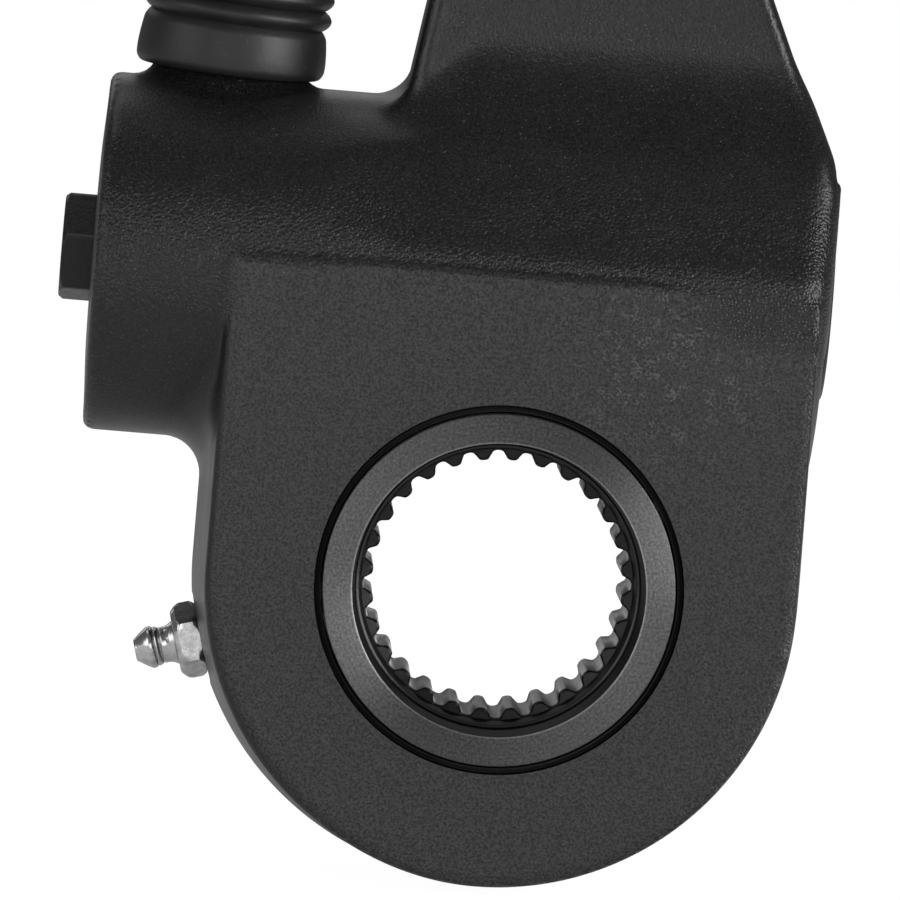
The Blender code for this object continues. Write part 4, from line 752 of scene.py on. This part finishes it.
gasket_corners = [(0.0362, 0.0224), (0.0429, 0.0224), (0.0429, 0.0230), (0.0362, 0.0230)]
gasket = turned_piece("fibre_gasket", gasket_corners, (0, 0, 0), along_y, 0.0001, True, 144)
carve(gasket, *[bore(cover_hole, screw_place) for screw_place in screw_places])
gasket_fibre, tree, shader, place = new_material("gasket_fibre")
shader.inputs["Roughness"].default_value = 0.9
fibres = noise(tree, place, 0.0003, 4.0, 0.7)
dented(tree, shader, (fibres, 0.00005))
coloured(tree, shader, ramp(tree, fibres, 0.35, 0.65), (0.06, 0.05, 0.042), (0.13, 0.11, 0.09))
finished(shaded(gasket), gasket_fibre, "housing", "cover_gasket")

# The cover screws: pan-head screws with a hexagon socket, rolled and zinc plated.


def hexagon_radius(across_flats, angle, flat_at=0.0):
    """Radius of a hexagon at an angle: half its width over the cosine of the angle from the nearest flat."""
    from_flat = np.mod(angle - flat_at + np.pi / 6, np.pi / 3) - np.pi / 6
    return across_flats / 2 / np.cos(from_flat)


zinc = metal("zinc_plate", 0.27, 0.0005, (0.003, 4.0, 0.6), 0.7, (0.50, 0.51, 0.52), (0.74, 0.745, 0.73))
screw_columns = full_turn(48)
screw_line = eased([(0, 0.0146), (0.00115, 0.0146), (0.00175, 0.0152), (0.00175, 0.0263), (0.0031, 0.0263),
                    (0.0031, 0.0272), (0.0027, 0.0279), (0.0021, 0.0281), (0.0017, 0.0281)], 0.0002)
thread_start = 0.0154
screw_tip = screw_line[screw_line[:, 1] < thread_start]
screw_head = screw_line[screw_line[:, 1] >= thread_start]
thread_pitch = 0.0007
thread_heights = np.arange(thread_start, 0.0225, thread_pitch / 6)
thread = 0.00163 + 0.00012 * np.cos(2 * np.pi * thread_heights[:, None] / thread_pitch - screw_columns)
socket = hexagon_radius(0.0025, screw_columns)
socket_rows = [socket + 0.00012, socket, socket, socket * 0.3, 0 * socket]
screw_rows = stacked(screw_columns, screw_tip.T, (thread, thread_heights), screw_head.T,
                     (socket_rows, [0.0281, 0.0280, 0.0271, 0.0268, 0.0268]))
for number, screw_place in enumerate(screw_places, 1):
    screw = round_piece(f"pan_head_screw_{number}", *screw_rows, screw_place, along_y,
                        turns=screw_columns + number)
    finished(shaded(screw), zinc, "housing", f"cover_screw_{number}")

# The adjuster spindle: a forged and turned shaft, black, with the hexagon for the spanner outside the left
# end of the worm housing. Its sealing ring lies in a groove of the journal.
hexagon_end = -0.0657
hexagon_flats = 0.0140
hexagon_turn = math.pi + math.radians(15.8)
journal_radius = 0.00818
spindle_columns = full_turn(144)
corner_limit = eased([(0, hexagon_end), (0.0071, hexagon_end), (0.0079, hexagon_end + 0.0006),
                      (0.0084, hexagon_end + 0.0010), (0.0084, -0.0603)], 0.0003)
stub = hexagon_radius(hexagon_flats, spindle_columns, hexagon_turn) - 0.00005
stub_rows = np.minimum(stub, corner_limit[:, :1])
shaft = eased([(journal_radius, -0.0602), (journal_radius, -0.05785), (0.00668, -0.05785),
               (0.00668, -0.05585), (journal_radius, -0.05585), (journal_radius, -0.0535), (0.0046, -0.0535),
               (0.0046, 0.0361), (0.0040, 0.0367), (0, 0.0367)], 0.0002)
spindle_rows = stacked(spindle_columns, (stub_rows, corner_limit[:, 1]), shaft.T)
spindle = round_piece("hexagon_spindle", *spindle_rows, (0, 0, worm_height), along_x, turns=spindle_columns)
finished(shaded(spindle, 25), dark_steel, "spindle", "adjuster_spindle")
dress(seal_rubber, "spindle_seal", "plug_seal")

# The springs inside: the wrap spring of the clutch and the disc spring at the worm, of oiled spring steel.
# Both keep the frame's shapes.
spring_steel = metal("spring_steel", 0.30, 0.0003, (0.002,), 0.65, (0.16, 0.16, 0.18), (0.28, 0.27, 0.27))
dress(spring_steel, "clutch_spring", "worm_spring")

# The plug: a turned steel disc, black, that closes the right end of the worm bore. Its outer face has a
# chamfer and the small dimple of the lathe centre.
plug_corners = [(0.0049, 0.0307), (0.0134, 0.0307), (0.0134, 0.03645), (0.0119, 0.03645), (0.0119, 0.03845),
                (0.0134, 0.03845), (0.0134, 0.0437), (0.0128, 0.0442), (0.0092, 0.0442), (0.0088, 0.0438),
                (0.0014, 0.0438), (0.0002, 0.0430), (0, 0.0430), (0, 0.0370), (0.0049, 0.0370)]
plug = turned_piece("turned_plug", plug_corners, (0, 0, worm_height), along_x, 0.0002, True)
finished(shaded(plug), dark_steel, "housing", "worm_plug")

# The link: a forged and zinc-plated rod with a narrow foot in the rack's fork and a wide eye round the small
# clevis pin, run together by forged fillets.
link_foot = np.array((-0.0440, 0.0040, 0.06945))
link_head = np.array((-0.0392, 0.0008, 0.1397))
link_length = np.linalg.norm(link_head - link_foot)
link_way = (link_head - link_foot) / link_length
link_radii = (0.0034, 0.0043, 0.00793)
link_halves = (0.0025, 0.0090)


def link_distance(points):
    """Signed distance to the link: a rod between two round bosses along Y, joined by hollow fillets."""
    x, y, z = points[..., 0], points[..., 1], points[..., 2]
    along = np.clip((points - link_foot) @ link_way, 0, link_length)
    rod = np.linalg.norm(points - link_foot - along[..., None] * link_way, axis=-1) - link_radii[0]
    foot_side = np.abs(y - link_foot[1]) - link_halves[0]
    near_foot = eased_step(z, link_foot[2] + 0.0077, link_foot[2] + 0.0065)
    rod = round_corner(rod, foot_side - 0.003 * (1 - near_foot), 0.0004)
    foot = round_corner(np.hypot(x - link_foot[0], z - link_foot[2]) - link_radii[1], foot_side, 0.0004)
    eye = np.hypot(x - link_head[0], z - link_head[2]) - link_radii[2]
    eye = round_corner(eye, np.abs(y - link_head[1]) - link_halves[1], 0.0009)
    return hollow_fillet(hollow_fillet(rod, foot, 0.0005), eye, 0.0040)


link_cell = 0.00055
link = shell_piece("forged_link", "link", link_distance, link_cell)
carve(link, bore([(0.0020, -past), (0.0020, past)], link_foot),
      bore(chamfered_hole(0.004425, 0.0050, link_halves[1]), link_head))
finished(shaded(link), zinc, "rack", "link")

# The boot: a moulded rubber bellows. Its thick collar grips the neck of the housing and sits level on it, its
# cuff grips the link, and folds lie between them.
# It is built in one pose and belongs to no body.
collar_height = 0.0070
fold_pitch = 0.0029
fold_count = 8
fold_end = collar_height + fold_count * fold_pitch
boot_base = link_foot + link_way * ((0.06985 - link_foot[2]) * link_way[2])
collar = eased([(0.0112, -0.0006), (0.0129, -0.0005), (0.01350, 0.0004), (0.01355, 0.0018), (0.01340, 0.0038),
                (0.01310, 0.0058), (0.01260, 0.0066)], 0.0007)
fold_height = np.arange(0.0, fold_count * fold_pitch, fold_pitch / 14) + collar_height - 0.0001
fold_share = np.abs(np.sin(np.pi * (fold_height - collar_height + 0.0001) / fold_pitch)) ** 0.8
folds = np.stack([0.0123 + 0.0012 * fold_share, fold_height], -1)
cuff = eased([(0.0124, 0), (0.0095, 0.0022), (0.0062, 0.0050), (0.0056, 0.0062), (0.0056, 0.0093),
              (0.0052, 0.0100), (0.0037, 0.0100), (0.0037, 0.0040), (0.0106, -0.0012)], 0.0007)
cuff = cuff + (0, fold_end)
inner_height = np.linspace(fold_end - 0.0020, collar_height + 0.0004, 40)
inner_wave = np.cos(2 * np.pi * (inner_height - fold_end) / fold_pitch)
inner_folds = np.stack([0.0111 + 0.0004 * inner_wave, inner_height], -1)
boot_rows = np.concatenate([collar, folds, cuff, inner_folds, [(0.0112, collar_height), (0.0112, 0.0)]])
boot_columns = full_turn(120)
boot_axes = axes_along(link_way)
to_right = np.cos(boot_columns) * boot_axes[0, 0] + np.sin(boot_columns) * boot_axes[1, 0]
collar_tilt = 0.028
levelled = collar_tilt * eased_step(-boot_rows[:, 1], -collar_height, 0)
boot_heights = boot_rows[:, 1:] + (levelled * boot_rows[:, 0])[:, None] * to_right
boot = round_piece("bellows_boot", boot_rows[:, 0], boot_heights, boot_base, link_way, True, boot_columns)
boot_rubber, tree, shader, place = new_material("boot_rubber")
bloom = noise(tree, place, 0.0045, 4.0, 0.6)
pores = noise(tree, place, 0.0003, 2.0)
dented(tree, shader, (pores, 0.00002), (noise(tree, place, 0.0015), 0.00003))
rough(tree, shader, bloom, 0.42, 0.52)
rubber_skin = coloured(tree, shader, bloom, (0.010, 0.010, 0.0105), (0.017, 0.017, 0.0175))
dust = ramp(tree, noise(tree, place, 0.0005, 1.0), 0.73, 0.78, 0.0, 0.5)
coloured(tree, shader, dust, rubber_skin, (0.07, 0.07, 0.07))
finished(shaded(boot, 60), boot_rubber, None, "boot")
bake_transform(boot)

# The arm bushing: a ground steel bush pressed into the eye of the arm, chamfered inside at both ends.
bushing_corners = [(0.00665, -0.0089), (0.00725, -0.0095), (0.0080, -0.0095), (0.00825, -0.0092),
                   (0.00825, 0.0092), (0.0080, 0.0095), (0.00725, 0.0095), (0.00665, 0.0089)]
bushing = turned_piece("arm_bush", bushing_corners, (0, 0, eye_height), along_y, 0.0001, True)
finished(shaded(bushing), ground_steel, "housing", "arm_bushing")

# The clevis: a zinc-plated forging with a fork over the arm, a solid block and a round boss, drilled and
# threaded for the push rod.
fork_half = 0.0105
clevis_half = 0.0170
clevis_round = 0.0127
block_end = -0.0622
boss_end = -0.0842
boss_radius = 0.0130
slot_end = -0.0492


def clevis_distance(points):
    """Signed distance to the clevis: a flat bar with one round end joined to a cylinder, less the slot."""
    x, y, z = points[..., 0], points[..., 1], points[..., 2] - eye_height
    bar = np.maximum(np.hypot(np.maximum(x, 0), z) - clevis_round, block_end - x)
    bar = round_corner(bar, np.abs(y) - clevis_half, 0.0018)
    boss = round_corner(np.hypot(y, z) - boss_radius, np.maximum(boss_end - x, x - slot_end + 0.003), 0.0012)
    body = hollow_fillet(bar, boss, 0.0022)
    slot = round_corner(np.abs(y) - fork_half, slot_end - x, 0.0025)
    return round_corner(body, -slot, 0.0007)


clevis_cell = 0.0007
clevis = shell_piece("forged_clevis", "clevis", clevis_distance, clevis_cell)
pin_radius = 0.00635
small_pin_radius = 0.003175
small_pin_x = -0.0392
rod_thread_pitch = 0.0014
rod_thread_heights = np.arange(boss_end + 0.0012, slot_end + 0.002, rod_thread_pitch / 8)
rod_columns = full_turn(64)
rod_wave = np.mod(rod_thread_heights[:, None] / rod_thread_pitch - rod_columns / (2 * np.pi), 1.0)
rod_thread = 0.0074 + 0.0009 * np.clip(1.6 * np.abs(rod_wave - 0.5) - 0.1, 0, 0.6)
rod_mouth = ((0, 0.0086, 0.0086, 0.0078), (boss_end - past, boss_end - past, boss_end, boss_end + 0.0008))
rod_rows = stacked(rod_columns, rod_mouth, (rod_thread, rod_thread_heights), ([0.0], rod_thread_heights[-1:]))
rod_socket = round_piece("cutter", *rod_rows, (0, 0, eye_height), along_x, turns=rod_columns)
pin_holes = [bore(chamfered_hole(radius + 0.0003, radius + 0.0009, clevis_half), (x, 0, eye_height))
             for radius, x in ((pin_radius, 0), (small_pin_radius, small_pin_x))]
carve(clevis, *pin_holes, rod_socket)
finished(shaded(clevis), zinc, "clevis", "clevis")

# The clevis pins and their cotters: turned pins with a flat head in front, each cross-drilled behind the fork
# for a split pin of zinc-plated wire.


def rounded_line(points, passes):
    """Cuts a line's corners: each pass puts two points on each side, a quarter in from its ends."""
    for _ in range(passes):
        inner = np.stack([0.75 * points[:-1] + 0.25 * points[1:], 0.25 * points[:-1] + 0.75 * points[1:]], 1)
        points = np.concatenate([points[:1], inner.reshape(-1, points.shape[1]), points[-1:]])
    return points


def wire_piece(name, line, radii, first, second, sides):
    """A wire along a line, with a circle round each point.

    Each point has its own radius and its own first side vector, and all share the second.
    """
    angle = full_turn(sides)[:, None]
    ring = np.cos(angle) * first[:, None] + np.sin(angle) * np.array(second)
    points = (line[:, None] + radii[:, None, None] * ring).reshape(-1, 3)
    return cleaned(piece_of(name, points, ring_faces(len(line), sides)))


def flat_wire(name, line, radius, place):
    """A wire along a line in the XZ plane, drawn in at both ends."""
    line = np.array([(x, 0, z) for x, z in line]) + np.array(place)
    way = np.gradient(line, axis=0)
    way /= np.linalg.norm(way, axis=1, keepdims=True)
    side = np.cross(way, along_y)
    radii = np.full(len(line) + 4, radius)
    radii[[0, 1, -2, -1]] = 0, 0.75 * radius, 0.75 * radius, 0
    line = np.concatenate([line[:1] - 0.3 * radius * way[:1], line[:1] - 0.2 * radius * way[:1], line,
                           line[-1:] + 0.2 * radius * way[-1:], line[-1:] + 0.3 * radius * way[-1:]])
    side = np.concatenate([side[:1], side[:1], side, side[-1:], side[-1:]])
    return wire_piece(name, line, radii, side, along_y, 14)


def cotter_line(leg, half, loop, spread):
    """A split pin: two legs, a round loop above them and tips bent apart below."""
    bend = np.array([(-spread, -half - 0.7 * spread), (-leg - 0.25 * spread, -half - 0.2 * spread),
                     (-leg, -half), (-leg, 0), (-leg, half)])
    turn = np.radians(np.linspace(240, -60, 13))
    eye = np.stack([loop * np.cos(turn), half + 1.3 * loop + loop * np.sin(turn)], -1)
    return rounded_line(np.concatenate([bend, eye, bend[::-1] * (-1, 1)]), 2)


head_side = -0.0173
for name, cotter_name, x, radius, wider, head, hole, wire in (
        ("clevis_pin", "clevis_cotter", 0.0, pin_radius, 0.0031, 0.0040, 0.0017, 0.00055),
        ("link_clevis_pin", "link_cotter", small_pin_x, small_pin_radius, 0.0020, 0.0025, 0.0012, 0.0004)):
    cotter_y = 0.0173 + hole + 0.0006
    tail = cotter_y + 0.0030
    head_top = head_side - head
    rim = radius + wider
    corners = [(0, head_top), (rim - 0.0007, head_top), (rim, head_top + 0.0007), (rim, head_side),
               (radius, head_side), (radius, tail - 0.0010), (radius - 0.0010, tail), (0, tail)]
    pin = turned_piece(f"turned_{name}", corners, (x, 0, eye_height), along_y, 0.0003)
    carve(pin, bore([(hole, -past), (hole, past)], (x, cotter_y, eye_height), along_z))
    finished(shaded(pin), zinc, "clevis", name)
    line = cotter_line(wire + 0.0001, radius + 0.0006, 3.2 * wire, 4.5 * wire)
    cotter = flat_wire(f"split_{cotter_name}", line, wire, (x, cotter_y, eye_height))
    finished(shaded(cotter, 60), zinc, "clevis", cotter_name)

# The grease fitting: zinc-plated steel, a hexagon chamfered at both ends, a waisted neck and a grooved head,
# screwed square into the side of the barrel, with a check ball in its mouth.
fitting_columns = full_turn(96)
fitting_flats = 0.0095
fitting_limit = eased([(0.0046, 0.0430), (0.0050, 0.0430), (0.0056, 0.0438), (0.0056, 0.0449),
                       (0.0053, 0.0458), (0.0044, 0.0467), (0.0030, 0.0467)], 0.0003)
fitting_nut = np.minimum(hexagon_radius(fitting_flats, fitting_columns), fitting_limit[:, :1])
shank_rows = eased([(0.0008, 0.0366), (0.0031, 0.0366), (0.0031, 0.0428)], 0.0002)
fitting_head = eased([(0.0031, 0.0468), (0.00275, 0.0474), (0.00262, 0.0480), (0.00262, 0.0486),
                      (0.00248, 0.04875), (0.00272, 0.0490), (0.00287, 0.0494), (0.00276, 0.0496),
                      (0.00296, 0.0498), (0.00304, 0.0501), (0.00300, 0.0505), (0.00255, 0.0512),
                      (0.00180, 0.0522), (0.00160, 0.0525), (0.00150, 0.0526), (0.00090, 0.0526),
                      (0.0008, 0.0523), (0.0008, 0.0517), (0.0016, 0.0506), (0.0016, 0.0440),
                      (0.0008, 0.0440)], 0.00012)
fitting_rows = stacked(fitting_columns, shank_rows.T, (fitting_nut, fitting_limit[:, 1]), fitting_head.T)
fitting = round_piece("hexagon_grease_fitting", *fitting_rows, (0, 0, 0), fitting_way, True, fitting_columns)
bright_zinc = metal("bright_zinc", 0.22, 0.0004, (0.0012,), 0.7, (0.52, 0.53, 0.53), (0.76, 0.765, 0.75))
finished(shaded(fitting, 25), bright_zinc, "housing", "grease_fitting")
ball_radius = 0.0013
ball_turns = np.linspace(0, np.pi, 17)
ball = round_piece("check_ball", ball_radius * np.sin(ball_turns), 0.0501 - ball_radius * np.cos(ball_turns),
                   (0, 0, 0), fitting_way, turns=32)
finished(shaded(ball, 60), ground_steel, "grease_ball", "grease_ball")

# The ball's spring: a fine coil of round wire between the chamber's floor and the ball, built in one pose.
coil_wire = 0.0002
coil_radius = 0.0009
coil_ends = (0.0442, 0.0485)
coil_turns = 4
coil_steps = 145
turned_by = np.linspace(0, 2 * np.pi * coil_turns, coil_steps)
from_middle = np.stack([np.cos(turned_by), np.sin(turned_by), 0 * turned_by], -1) @ axes_along(fitting_way)
coil_line = coil_radius * from_middle + np.linspace(*coil_ends, coil_steps)[:, None] * fitting_way
coil_radii = np.full(coil_steps, coil_wire)
coil_radii[[0, -1]] = 0
coil = wire_piece("coil_spring", coil_line, coil_radii, from_middle, fitting_way, 10)
finished(shaded(coil, 60), spring_steel, None, "grease_spring")
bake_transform(coil)
